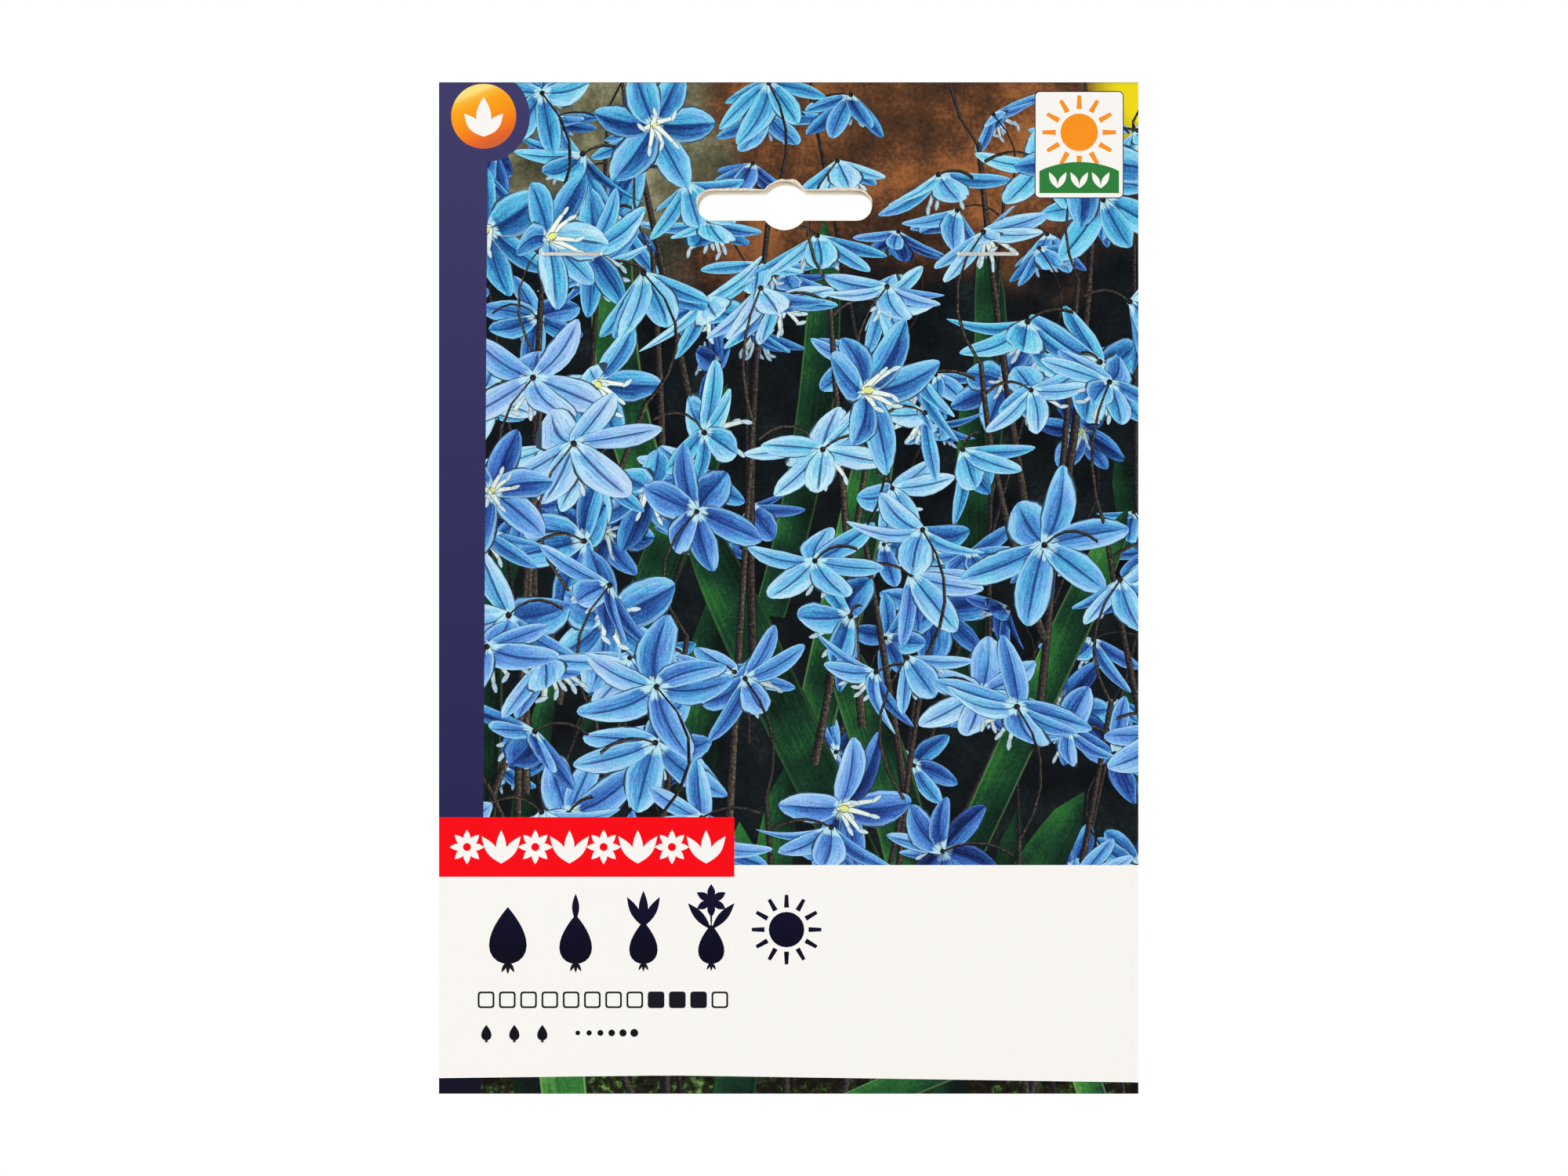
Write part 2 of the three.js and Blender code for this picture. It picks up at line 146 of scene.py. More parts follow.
class Value:
    """A socket of a node. Arithmetic on it, from either side, adds Math nodes."""

    def __init__(self, nodes, socket):
        self.nodes = nodes
        self.socket = socket

    def math(self, operation, *others):
        """A Math node on this value and the others."""
        return self.nodes.node("ShaderNodeMath", dict(enumerate((self, *others))), operation=operation)

    __add__ = __radd__ = lambda self, other: self.math("ADD", other)
    __mul__ = __rmul__ = lambda self, other: self.math("MULTIPLY", other)
    __sub__ = lambda self, other: self.math("SUBTRACT", other)
    __rsub__ = lambda self, other: self * -1.0 + other
    __truediv__ = lambda self, other: self.math("DIVIDE", other)
    __pow__ = lambda self, other: self.math("POWER", other)
    __abs__ = lambda self: self.math("ABSOLUTE")

    def rise(self, start, end):
        """0 at start and 1 at end, with a smooth rise between them. Either may be the larger."""
        low, high, first, last = (start, end, 0.0, 1.0) if start < end else (end, start, 1.0, 0.0)
        sockets = {"Value": self, "From Min": low, "From Max": high, "To Min": first, "To Max": last}
        return self.nodes.node("ShaderNodeMapRange", sockets, interpolation_type="SMOOTHSTEP")


class Nodes:
    """A tree of nodes. A colour in it is given as three screen values."""

    def __init__(self, tree):
        self.tree = tree

    def node(self, kind, sockets, result=0, stops=(), **settings):
        """One result of a node of that type. Its settings and stops are set first, and then its
        sockets, by values or links. A stop is a value and its colour."""
        node = self.tree.nodes.new(kind)
        for name, value in settings.items():
            setattr(node, name, value)
        for _ in stops[2:]:
            node.color_ramp.elements.new(1.0)
        for number, (place, *shade) in enumerate(stops):
            element = node.color_ramp.elements[number]
            element.position, element.color = place, colour(*shade)
        for name, value in sockets.items():
            self.put(node.inputs[name], value)
        return Value(self, node.outputs[result])

    def put(self, socket, value):
        """Links a value to a socket, or sets the socket to a number or a colour."""
        if isinstance(value, Value):
            self.tree.links.new(value.socket, socket)
        else:
            socket.default_value = colour(*value) if socket.type == "RGBA" else value


class Finish(Nodes):
    """A material. Lengths in it are in millimetres."""

    def __init__(self, name, **values):
        self.material = bpy.data.materials.new(name)
        self.material.use_nodes = True
        super().__init__(self.material.node_tree)
        self.shader = self.tree.nodes["Principled BSDF"]
        self.set(**values)

    def set(self, **values):
        """Sets the shader's own sockets, with _ for a space in a name."""
        for name, value in values.items():
            self.put(self.shader.inputs[name.replace("_", " ")], value)
        return self

    def mix(self, first, second, share):
        """The first colour where the share is 0, and the second where it is 1."""
        return self.node("ShaderNodeMix", {0: share, 6: first, 7: second}, 2, data_type="RGBA")

    def ramp(self, value, *stops):
        """The colour between stops that a value falls on."""
        return self.node("ShaderNodeValToRGB", {0: value}, stops=stops)

    def attribute(self, name):
        """The three parts of an attribute of the mesh."""
        return self.parts(self.node("ShaderNodeAttribute", {}, "Vector", attribute_name=name))

    def parts(self, vector):
        """The three parts of a vector."""
        split = self.node("ShaderNodeSeparateXYZ", {0: vector}).socket.node
        return [Value(self, output) for output in split.outputs]

    def vector(self, x, y, z=0.0):
        """A vector of three values or numbers."""
        return self.node("ShaderNodeCombineXYZ", {0: x, 1: y, 2: z})

    def place(self):
        """Object coordinates, in millimetres."""
        spot = self.node("ShaderNodeTexCoord", {}, "Object")
        return self.node("ShaderNodeVectorMath", {0: spot, "Scale": 1 / MM}, operation="SCALE")

    def noise(self, vector, wave, detail=2.0, roughness=0.5):
        """Noise, mostly from 0.3 to 0.7, with waves about so long in the vector's own units."""
        sockets = {"Vector": vector, "Scale": 1 / wave, "Detail": detail, "Roughness": roughness}
        return self.node("ShaderNodeTexNoise", sockets, "Fac")

    def bump(self, height, distance, strength=1.0):
        """Raises the surface by up to that distance, in millimetres, where height is 1."""
        sockets = {"Height": height, "Strength": strength, "Distance": distance * MM}
        return self.set(Normal=self.node("ShaderNodeBump", sockets))


def board_finish():
    """Grey-brown inside, white coated outside, and with a pale torn core where the board is cut.
    The flap's inside is painted paler: painted light where it lies in shade behind the slot."""
    finish = Finish("board", Specular_IOR_Level=0.25)
    place = finish.place()
    _, y, z = finish.parts(place)
    above = (z - FOLD_HEIGHT).math("MAXIMUM", 0.0)
    from_middle = ((y - FOLD_RADIUS) ** 2.0 + above * above) ** 0.5
    outside = from_middle.rise(FOLD_RADIUS - 0.06, FOLD_RADIUS - 0.02)
    core = from_middle.rise(FOLD_RADIUS - BOARD + 0.01, FOLD_RADIUS - BOARD + 0.06)
    fibre = finish.noise(place, 0.35, 4.0, 0.7)
    cloud = finish.noise(place, 7.0, 3.0, 0.6)
    speck = finish.noise(place, 0.9, 2.0, 0.4)
    mottle = fibre * 0.72 + cloud * 0.28
    kraft = finish.ramp(mottle, (0.3, 104, 84, 64), (0.5, 148, 124, 98), (0.7, 186, 162, 132))
    kraft = finish.mix(kraft, (78, 60, 44), speck.rise(0.64, 0.72) * 0.6)
    # painted light: the flap's inside, seen in shade through the slot, is painted pale cream
    kraft = finish.mix(kraft, (252, 240, 218), y.rise(FOLD_RADIUS + 0.1, FOLD_RADIUS + 0.2))
    cut = finish.ramp(fibre, (0.3, 150, 128, 104), (0.5, 205, 190, 170), (0.7, 240, 232, 220))
    white = finish.ramp(fibre, (0.2, 226, 222, 214), (0.8, 248, 246, 240))
    shade = finish.mix(finish.mix(kraft, cut, core), white, outside)
    finish.set(Base_Color=shade, Roughness=0.92 - outside * 0.4)
    return finish.bump(fibre + cloud * 0.3, 0.05, 0.7)


frame["nodes"]["card"].data.materials.clear()
frame["nodes"]["card"].data.materials.append(board_finish().material)


# The print on the front. Blue spring flowers, their stalks, straps of leaf and the ground behind
# them are shapes of ink on the board's coated side, under a glossy varnish. Each shape is laid over
# the ones before it and cut where they meet, so the ink is one skin. It runs on over the fold.
INK_LIFT = 0.05  # of the ink over the board
LABEL_TOP = -122.6
SLOT_LENGTH = 32.4
SLOT_HEIGHT = 5.5
EYE_RADIUS = 4.5
SLOT_POINTS = 260
FOLD_STEPS = 8
INK_RADIUS = FOLD_RADIUS + INK_LIFT
FOLD_LENGTH = np.pi * INK_RADIUS
FLAP_START = FOLD_HEIGHT + FOLD_LENGTH
SHEET_TOP = FLAP_START + FOLD_HEIGHT - FLAP_BOTTOM
PRINT_SEED = 11
MERGED = 1e-4  # corners this close become one
LIGHT = np.array([-0.35, 0.75, 0.56])  # on the flowers: across, up, and to the eye
BEND_LIMIT = 0.35  # of the bend that folds a tepal over on itself
FAR_LEAVES, FAR_SPRAYS, NEAR_LEAVES, NEAR_SPRAYS = 15, 20, 8, 27
FAR_SIZE, NEAR_SIZES = 10.0, (11.6, 14.4)  # of the flowers: a tepal's length
OUTLOOKS = {"front": 0.13, "side": 0.43, "back": 0.44}  # the share of the flowers that face so
FOOT_LEAVES = [  # foot, tip, bow, half width and tone
    ((-38, -186), (-43, -140), 0.06, 4.8, 0.72), ((-2, -174), (46, -154), 0.05, 3.2, 0.4),
    ((63, -186), (50, -146), -0.08, 3.0, 0.5),
]
PRINT_INKS = GROUND, LEAF, STEM, PETAL, FILAMENT, ANTHER, OVARY, TORN = range(8)
NO_INK = -1
TEPAL, STRAP, STALK, PLAIN = range(4)


def unit(vectors):
    """Vectors over their own lengths."""
    return vectors / np.linalg.norm(vectors, axis=-1, keepdims=True)


def left_of(vectors):
    """Vectors of the plane, turned a quarter to the left."""
    return np.stack([-vectors[..., 1], vectors[..., 0]], -1)


def full_turn(steps):
    """Angles evenly round a circle."""
    return np.linspace(0, 2 * np.pi, steps, endpoint=False)


def ways(turn):
    """Vectors one long, at angles from the first axis of the plane."""
    return np.stack([np.cos(turn), np.sin(turn)], -1)


def cross(first, second):
    """How far the second vector of the plane turns from the first, times both lengths."""
    return first[..., 0] * second[..., 1] - first[..., 1] * second[..., 0]


def width(form, along):
    """Share of a blade's half width. A tepal's rises from a narrow base and closes to a blunt tip,
    a strap's is nearly even and closes to a tip at the far end, and a stalk's tapers evenly."""
    along = np.clip(along, 0, 1)
    tepal = 2.1 * (0.055 + along) ** 0.85 * (1 - along) ** 0.64
    strap = (0.8 + 0.2 * along) * (1 - along**7) ** 0.6
    return np.choose(np.minimum(form, STALK), [tepal, strap, 1 - 0.45 * along])


def within(points, rings):
    """Which points lie in any of the rings: a line from the point crosses the ring an odd number
    of times."""
    start, end = rings, np.roll(rings, -1, 1)
    x, z = points[:, None, None, 0], points[:, None, None, 1]
    spans = (start[..., 1] > z) != (end[..., 1] > z)
    height = np.where(end[..., 1] == start[..., 1], 1, end[..., 1] - start[..., 1])
    meets = start[..., 0] + (z - start[..., 1]) * (end[..., 0] - start[..., 0]) / height
    return ((spans & (x < meets)).sum(2) % 2 == 1).any(1)


def ring_edges(count, start=0):
    """The edges that join points in a ring."""
    around = np.arange(start, start + count)
    return np.stack([around, np.roll(around, -1)], 1)


def triangulated(points, edges):
    """Points and triangles that fill the plane between points and keep their edges."""
    points = [Vector(point) for point in points.tolist()]
    cut = delaunay_2d_cdt(points, edges.tolist(), [], 0, MERGED, False)
    return np.array([tuple(point) for point in cut[0]]), np.array(cut[2])


class Sheet:
    """Shapes of ink on the board before it is folded, each over those before it."""

    def __init__(self):
        self.corners, self.edges, self.rings = [], [], []
        self.inks, self.frames, self.shades = [], [], []
        self.count = 0
        self.behind = False

    def shape(self, ink, corners, edges, rings, frame=None, form=PLAIN, **shades):
        """One shape, the union of its rings. frame is a blade's root, reach, bend and side."""
        self.corners.append(corners)
        self.edges.append(edges + self.count)
        self.rings.append(corners[rings])
        self.inks.append(ink)
        self.frames.append([form, *(np.zeros(8) if frame is None else frame.ravel())])
        self.shades.append([shades.get(name, 0.5) for name in ("tone", "hue", "fold", "chance")])
        self.count += len(corners)

    def outline(self, ink, corners, **shades):
        """One shape with a closed outline. Behind the card, its height is measured down the flap."""
        if self.behind:
            corners = corners * (1, -1) + (0, FLAP_START + FOLD_HEIGHT)
        count = len(corners)
        self.shape(ink, corners, ring_edges(count), np.arange(count)[None], **shades)

    def blade(self, ink, form, root, reach, bend, side, steps, **shades):
        """A bent strip: root + u reach + u^2 bend + v width(u) side, for u from 0 to 1."""
        frame = np.array([root, reach, bend, side], float)
        along = np.linspace(0, 1, steps)
        along = 0.5 - 0.5 * np.cos(np.pi * along) if form == TEPAL else along
        middle = frame[0] + along[:, None] * frame[1] + along[:, None] ** 2 * frame[2]
        offset = width(form, along)[:, None] * frame[3]
        waves = along * random.uniform(4, 11, (2, 1)) + random.uniform(0, 2 * np.pi, (2, 1))
        waves = 1 + 0.09 * np.sin(waves)[..., None] * (form == TEPAL)
        corners = np.stack([middle - waves[0] * offset, middle, middle + waves[1] * offset], 1)
        number = np.arange(3 * steps).reshape(steps, 3)
        low, high = number[:-1], number[1:]
        rings = np.stack([low[:, :2], low[:, 1:], high[:, 1:], high[:, :2]], 2).reshape(-1, 4)
        edges = np.stack([low, high], 2).transpose(1, 0, 2).reshape(-1, 2)
        self.shape(ink, corners.reshape(-1, 2), edges, rings, frame, form, **shades)

    def top_at(self, points):
        """The number of the shape that is on top at each point, or -1 where there is none."""
        order = np.argsort(points[:, 0])
        across = points[order, 0]
        top = np.full(len(points), -1)
        for number, rings in enumerate(self.rings):
            low, high = rings.min((0, 1)), rings.max((0, 1))
            near = order[np.searchsorted(across, low[0]):np.searchsorted(across, high[0])]
            near = near[(points[near, 1] > low[1]) & (points[near, 1] < high[1])]
            top[near[within(points[near], rings)]] = number
        return top

    def cut(self):
        """Corners, triangles, and the number of the shape that is on top in each triangle. An edge
        that later shapes hide is left out first, apart from those of the ground: they are the
        sheet's outline and the lines that it is folded on."""
        corners, edges = np.concatenate(self.corners), np.concatenate(self.edges)
        owners = np.repeat(np.arange(len(self.edges)), [len(part) for part in self.edges])
        start, end = corners[edges].transpose(1, 0, 2)
        shown = owners < FOLD_STEPS + 2
        for share in (0.02, 0.26, 0.5, 0.74, 0.98):
            shown |= self.top_at(start + share * (end - start)) <= owners
        used, edges = np.unique(edges[shown], return_inverse=True)
        points, triangles = triangulated(corners[used], edges.reshape(-1, 2))
        middles = points[triangles].mean(1)
        top = self.top_at(middles)
        on_sheet = (middles > (LEFT, BOTTOM)) & (middles < (RIGHT, SHEET_TOP))
        kept = (top >= 0) & on_sheet.all(1)
        return points, triangles[kept], top[kept]

    def along_and_across(self, points, shapes):
        """Where each point lies on its blade: the bent strip, solved for u and then for v."""
        frames = np.array(self.frames)[shapes]
        forms = frames[:, 0].astype(int)
        root, reach, bend, side = frames[:, 1:].reshape(-1, 4, 2).transpose(1, 0, 2)
        away = points - root
        square, slope, start = cross(bend, side), cross(reach, side), -cross(away, side)
        slope = np.where(np.abs(slope) < 1e-9, 1e-9, slope)
        under = np.sqrt(np.maximum(slope * slope - 4 * square * start, 0))
        along = -2 * start / (slope + np.sign(slope) * under)
        left = away - along[:, None] * reach - along[:, None] ** 2 * bend
        across = (left * side).sum(1) / np.maximum((side * side).sum(1), 1e-9)
        across = across / np.maximum(width(forms, along), 0.02)
        blade = forms != PLAIN
        return blade * np.clip(along, 0, 1), blade * np.clip(across, -1, 1)


def circle(x, z, radius, steps):
    """Points at a radius round a middle."""
    return radius * ways(full_turn(steps)) + (x, z)


def box(left, bottom, right, top):
    """The four corners of a rectangle."""
    return np.array([[left, bottom], [right, bottom], [right, top], [left, top]], float)


def slot_outline(across, up, grow, torn=0.0):
    """The hang slot round a middle: the further out of a bar with round ends and a round eye. It
    is moved out along its normals by grow, and at its upper edge by torn as well."""
    half = SLOT_HEIGHT / 2
    straight = SLOT_LENGTH / 2 - half
    turn = full_turn(SLOT_POINTS)
    ray = ways(turn - 0.46 * np.sin(2 * turn))
    aside, over = np.abs(ray).T
    flat = half / np.maximum(over, 1e-6)
    end = straight * aside + np.sqrt(np.maximum(half**2 - straight**2 * over**2, 0))
    bar = np.where(flat * aside < straight, flat, end)
    points = ray * np.maximum(bar, EYE_RADIUS)[:, None]
    normal = -left_of(unit(np.roll(points, -1, 0) - np.roll(points, 1, 0)))
    grow = grow + torn * np.clip(normal[:, 1] * 2, 0, 1)
    return points + normal * grow[:, None] + (across, up)


sheet = Sheet()
random = np.random.default_rng(PRINT_SEED)


def spread(count, low, high, tries=24):
    """Points in a box, each the one of several tries that lies furthest from the others."""
    found = [random.uniform(low, high)]
    while len(found) < count:
        options = random.uniform(low, high, (tries, 2))
        gaps = np.linalg.norm(options[:, None] - np.array(found)[None], axis=2).min(1)
        found.append(options[gaps.argmax()])
    return np.array(found)


def strip(ink, form, root, tip, bow, half, steps, tone):
    """A blade from root to tip that bows to one side."""
    way = np.subtract(tip, root)
    aside = left_of(way)
    sheet.blade(
        ink, form, root, way + bow * aside, -bow * aside, unit(aside) * half, steps,
        tone=tone, chance=random.random(),
    )


def stamens(centre, axis, out, size, tone):
    """Six filaments that lean from the axis, with an anther at each tip, round an ovary."""
    for angle in np.arange(6) * np.pi / 3 + random.normal(0, 0.2, 6):
        lean = ways(angle) @ out
        tip = centre + (size * random.uniform(0.38, 0.56) * (0.55 * lean + 0.85 * axis))[:2]
        strip(FILAMENT, STALK, centre, tip, 0.08, 0.05 * size, 4, tone)
        anther = 0.1 * size * unit(unit(tip - centre) + random.normal(0, 0.5, 2))
        strip(ANTHER, TEPAL, tip - 0.4 * anther, tip + 1.2 * anther, 0.0, 0.045 * size, 6, tone)
    top = centre + 0.2 * size * axis[:2] + (0, 0.02 * size)
    strip(OVARY, TEPAL, centre, top, 0.0, 0.075 * size, 7, tone)


def flower(centre, axis, size, lean, curl, tone, hue):
    """Six tepals round an axis in space, seen along the card's depth. Each leans forward along the
    axis by an angle, and its tip curls back. The furthest is drawn first."""
    axis = unit(axis)
    first = unit(np.cross(axis, [0.3, 1, 0.2]))
    out = np.array([first, np.cross(axis, first)])
    near = axis[2] > 0.15
    if not near:
        stamens(centre, axis, out, size, tone * 0.8)
    tepals = []
    start = random.uniform(0, np.pi / 3)
    for number in range(6):
        inner = number % 2
        angle = start + number * np.pi / 3 + random.normal(0, 0.12)
        outward, across = ways(angle) @ out, ways(angle + np.pi / 2) @ out
        tilt = lean + random.normal(0, 0.14)
        reach = size * random.uniform(0.88, 1.1) * (np.cos(tilt) * outward + np.sin(tilt) * axis)
        facing = np.cos(tilt) * axis - np.sin(tilt) * outward
        bend = size * (random.normal(0, 0.2) * across - curl * random.uniform(0.2, 1.6) * facing)
        side = (across * size * (0.33 if inner else 0.28) * random.uniform(0.88, 1.14))[:2]
        upright = unit(left_of(reach[:2]))
        shown, least = side @ upright, 0.15 * size
        if abs(shown) < least:
            side = side + upright * (np.copysign(least, shown) - shown)
        folds_over = -cross(bend[:2], side) / cross(reach[:2], side)
        bend = bend * min(1, BEND_LIMIT / max(folds_over, 1e-9))
        depth = 0.6 * reach[2] + 0.3 * bend[2] + (0.12 * size * np.sign(axis[2]) if inner else 0)
        tepals.append((depth, reach[:2], bend[:2], side, abs(facing @ LIGHT), across @ LIGHT))
    tepals.sort(key=lambda tepal: tepal[0])
    for order, (_, reach, bend, side, lit, slant) in enumerate(tepals):
        sheet.blade(
            PETAL, TEPAL, centre, reach, bend, side, 11,
            tone=np.clip(tone * (0.2 + 0.54 * lit + 0.035 * order) + random.normal(0, 0.06), 0, 1),
            hue=np.clip(hue + random.normal(0, 0.08), 0, 1),
            fold=np.sign(cross(reach, side)) * slant * 0.4,
            chance=random.random(),
        )
    if near:
        stamens(centre, axis, out, size, tone)
    else:
        sheet.outline(STEM, circle(*centre, 0.03 * size + 0.16, 9), tone=0.1)


def outlook(kind):
    """Which way a flower faces: to the eye, along the card and down, or away and down."""
    away, turn = {
        "front": (random.uniform(0.25, 0.95), random.normal(-1.2, 0.9)),
        "side": (random.uniform(1.45, 1.9), random.normal(-1.57, 0.45)),
        "back": (random.uniform(1.95, 2.6), random.normal(-1.57, 0.7)),
    }[kind]
    return np.array([*(np.sin(away) * ways(turn)), np.cos(away)])


def spray(tip, size, tone, hue, stout):
    """A leaning stalk with three or four nodding flowers at its top, each on a bowed stalk."""
    foot = tip + (random.normal(0, 12), -random.uniform(50, 90))
    strip(STEM, STALK, foot, tip, random.normal(0, 0.06), stout, 9, 0.3 * tone)
    places = np.array([(0, 2), (-0.9, -0.3), (0.8, -0.6), (-0.3, -1.35)])[: random.integers(3, 5)]
    places = places * (size * random.choice([-1, 1]), size) * 0.9
    for place in places[::-1]:
        centre = tip + place + random.normal(0, 1.5, 2)
        joint = tip + (0.1 * place[0], min(place[1], 0) * 0.85 - 0.5)
        kind = random.choice([*OUTLOOKS], p=[*OUTLOOKS.values()])
        bow = np.sign(centre[0] - joint[0]) * random.uniform(0.4, 1.0)
        lean = random.uniform(0.35, 0.9) if kind == "side" else random.uniform(0.15, 0.6)
        if kind == "front":
            strip(STEM, STALK, joint, centre, bow, 0.3, 6, 0.3 * tone)
        flower(
            centre, outlook(kind), size * random.uniform(0.85, 1.12), lean, random.uniform(0.05, 0.4),
            tone * random.uniform(0.85, 1.08), hue + random.normal(0, 0.16),
        )
        if kind != "front":
            strip(STEM, STALK, joint, centre, bow, 0.45 * stout, 6, 0.3 * tone)


def grown(tip):
    """How high a tip is in the picture, from 0 at the label to 1 at the card's top."""
    return (tip[1] - LABEL_TOP) / (TOP - LABEL_TOP)


def leaves(count, low, high, sway, longest, tone, brighter, half):
    """Bowed straps of leaf, each from below the picture to a tip in a box. The high ones are pale."""
    for tip in spread(count, low, high):
        foot = tip + (random.normal(0, sway), -random.uniform(50, longest))
        shade = random.uniform(*tone) + brighter * grown(tip) ** 2
        strip(LEAF, STRAP, foot, tip, random.normal(0, 0.14), random.uniform(*half), 12, shade)


fold_lines = FOLD_HEIGHT + FOLD_LENGTH * np.linspace(0, 1, FOLD_STEPS + 1)
for low, high in zip([BOTTOM, *fold_lines], [*fold_lines, SHEET_TOP]):
    sheet.outline(GROUND, box(LEFT, low, RIGHT, high))
leaves(FAR_LEAVES, (LEFT, LABEL_TOP + 10), (RIGHT, TOP - 20), 14, 90, (0.0, 0.15), 0.4, (2.6, 5.2))
far = spread(FAR_SPRAYS, (LEFT - 2, LABEL_TOP), (RIGHT + 2, TOP + 2))
for tip in far[np.argsort(-far[:, 1])]:
    spray(tip, FAR_SIZE, random.uniform(0.4, 0.66) + 0.12 * grown(tip), 0.6, 0.55)
leaves(NEAR_LEAVES, (LEFT, LABEL_TOP + 5), (RIGHT, TOP - 50), 16, 80, (0.08, 0.28), 0.5, (3.2, 5.4))
near = spread(NEAR_SPRAYS, (LEFT + 2, LABEL_TOP + 2), (RIGHT - 2, TOP - 4))
for tip in near[np.argsort(-near[:, 1] + random.normal(0, 12, len(near)))]:
    bright = 0.88 + 0.24 * np.exp(-(((grown(tip) - 0.62) / 0.25) ** 2)) + random.normal(0, 0.07)
    spray(tip, random.uniform(*NEAR_SIZES), bright, 0.95 - 0.85 * grown(tip), 0.85)
for foot, tip, bow, half, tone in FOOT_LEAVES:
    strip(LEAF, STRAP, foot, tip, bow, half, 12, tone)


# The printed label. A navy band runs down the left, with an orange disc at its head. A red banner
# and a white panel lie across the foot of the picture, and a small white plate is at the top right.
# Plain pictograms of planting fill them.
NAVY, ORANGE, RED, WHITE, DARK, SUN, HILL = range(10, 17)
BAND_EDGE = [-56.4, -56.0, -55.1]  # at the foot, at its bend and at the top
BAND_BEND = -120.0
BAND_OVER = 4.0  # its length behind the fold
LABEL_FOOT = [-162.2, -161.7, -163.0]  # at the left, at a third of the way and at the right
BANNER_FOOT = -124.8
BANNER_TOP = -113.7
BANNER_RIGHT = -9.3
BANNER_INSET, BANNER_PITCH = 5.2, 6.35
DAISY_LINE, SPROUT_LINE = -119.25, -122.3
DAISY_RADIUS = 3.2
DISC_X, DISC_Z = -55.9, 16.6
DISC_RADIUS = 6.05
DISC_RIM = 8.6
BAND_RIGHT = -47  # just past the disc's rim
PLATE = (46.7, 1.5, 62.9, 21.1)
PLATE_LINE = 0.18
GROWTH = [  # of the bulbs on the panel: their height, leaves by turn and length, and flower stalk
    (10.6, [], 0), (9.2, [(0.0, 5.2)], 0), (8.0, [(0.5, 6.4), (-0.5, 6.4), (0.0, 6.8)], 0),
    (7.4, [(0.72, 6.6), (-0.72, 6.6)], 5.4),
]
GROWTH_ROW, COUNT_ROW = (-51.4, 12.6, -141.0), (-55.4, 5.2, -155.2)  # first, pitch and foot
SIZE_ROW = (-38.4, 2.1, -153.8)
PANEL_SUN = (0.4, -134.6, 6.6)
MONTH_ROW, FLAP_MONTH_ROW = (-57.0, -149.2, 3.1, 3.95), (-23.4, -17.6, 3.3, 4.1)
MONTHS = 12
PLANTING = (8, 9, 10)  # the months that are filled
FLAP_PANEL_TOP = 19.6
SIGN_HALF, SIGN_FOOT, SIGN_TOP = 7.4, 1.4, 16.8
SOIL_HALF, SOIL_TOP, SIGN_BULB_FOOT = 6.2, 9.6, 2.9
FLAP_SIGNS = [  # middle, soil's foot, bulb's height, leaves, and the bulbs' places
    (-50.0, 9.0, 4.2, [(0.0, 4.0)], [0]), (-32.0, 8.7, 4.2, [], [-3.9, 3.9]),
    (33.6, 8.7, 3.0, [(0.0, 4.0)], [-4.2, 0, 4.2]), (51.6, None, 0, [], []),
]
FLAP_SLOT_SHIFT = (0.3, -0.7)
SLOT_GAP = 0.04  # from the ink to the slot's cut edge


def turned(points, turn):
    """Points of the plane, turned about its origin."""
    cosine, sine = np.cos(turn), np.sin(turn)
    return points @ np.array([[cosine, sine], [-sine, cosine]])


def rounded_box(left, bottom, right, top, radius, steps=5):
    """A rectangle with a quarter circle at each corner."""
    turn = np.arange(4)[:, None] * np.pi / 2 + np.linspace(0, np.pi / 2, steps)
    x = np.where([1, 0, 0, 1], right - radius, left + radius)
    z = np.where([1, 1, 0, 0], top - radius, bottom + radius)
    return (np.stack([x, z], 1)[:, None] + radius * ways(turn)).reshape(-1, 2)


def framed(ink, left, bottom, right, top, radius, rim, inner_radius, steps=5):
    """A rounded box of ink with a white one in it."""
    sheet.outline(ink, rounded_box(left, bottom, right, top, radius, steps))
    inner = left + rim, bottom + rim, right - rim, top - rim, inner_radius, steps
    sheet.outline(WHITE, rounded_box(*inner))


def months(left, bottom, size, pitch):
    """A row of small squares, filled for the months of planting."""
    for number in range(MONTHS):
        x = left + number * pitch
        square = x, bottom, x + size, bottom + size, 0.5
        if number in PLANTING:
            sheet.outline(DARK, rounded_box(*square, 3))
        else:
            framed(DARK, *square, 0.35, 0.3, 3)


def fan(ink, x, z, turns, length, breadth, steps=9):
    """Pointed leaves from one point, turned from upright: two arcs that meet at both ends."""
    along = np.linspace(0, 1, steps)
    arc = np.stack([0.5 * breadth * np.sin(np.pi * along), along * length], 1)
    leaf = np.concatenate([arc, arc[-2:0:-1] * (-1, 1)])
    for turn in turns:
        sheet.outline(ink, turned(leaf, turn) + (x, z))


def bulb_sign(x, z, size, sprouts=(), stalk=0):
    """A bulb as high as size, a circle drawn up to a point, with roots, leaves and a flower."""
    neck = z + 0.86 * size
    for turn, length in sprouts:
        fan(DARK, x, neck, [turn], length, 0.26 * length)
    if stalk:
        fan(DARK, x, neck, [0], stalk, 0.07 * stalk, 5)
        fan(DARK, x, neck + stalk, full_turn(6), 0.42 * size, 0.2 * size)
    across, up = ways(full_turn(26) - np.pi / 2).T
    drop = np.stack([0.86 * across * (0.5 - 0.5 * up) ** 0.5, 1 + up], 1)
    sheet.outline(DARK, 0.5 * size * drop + (x, z))
    fan(DARK, x, z + 0.06 * size, [np.pi - 0.5, np.pi, np.pi + 0.5], 0.24 * size, 0.07 * size, 5)


def sun_sign(x, z, size, ink):
    """A disc with twelve tapered rays."""
    sheet.outline(ink, circle(x, z, 0.5 * size, 24))
    ray = np.array([[-0.07, 0.62], [0.07, 0.62], [0.05, 0.98], [-0.05, 0.98]]) * size
    for turn in full_turn(12):
        sheet.outline(ink, turned(ray, turn) + (x, z))


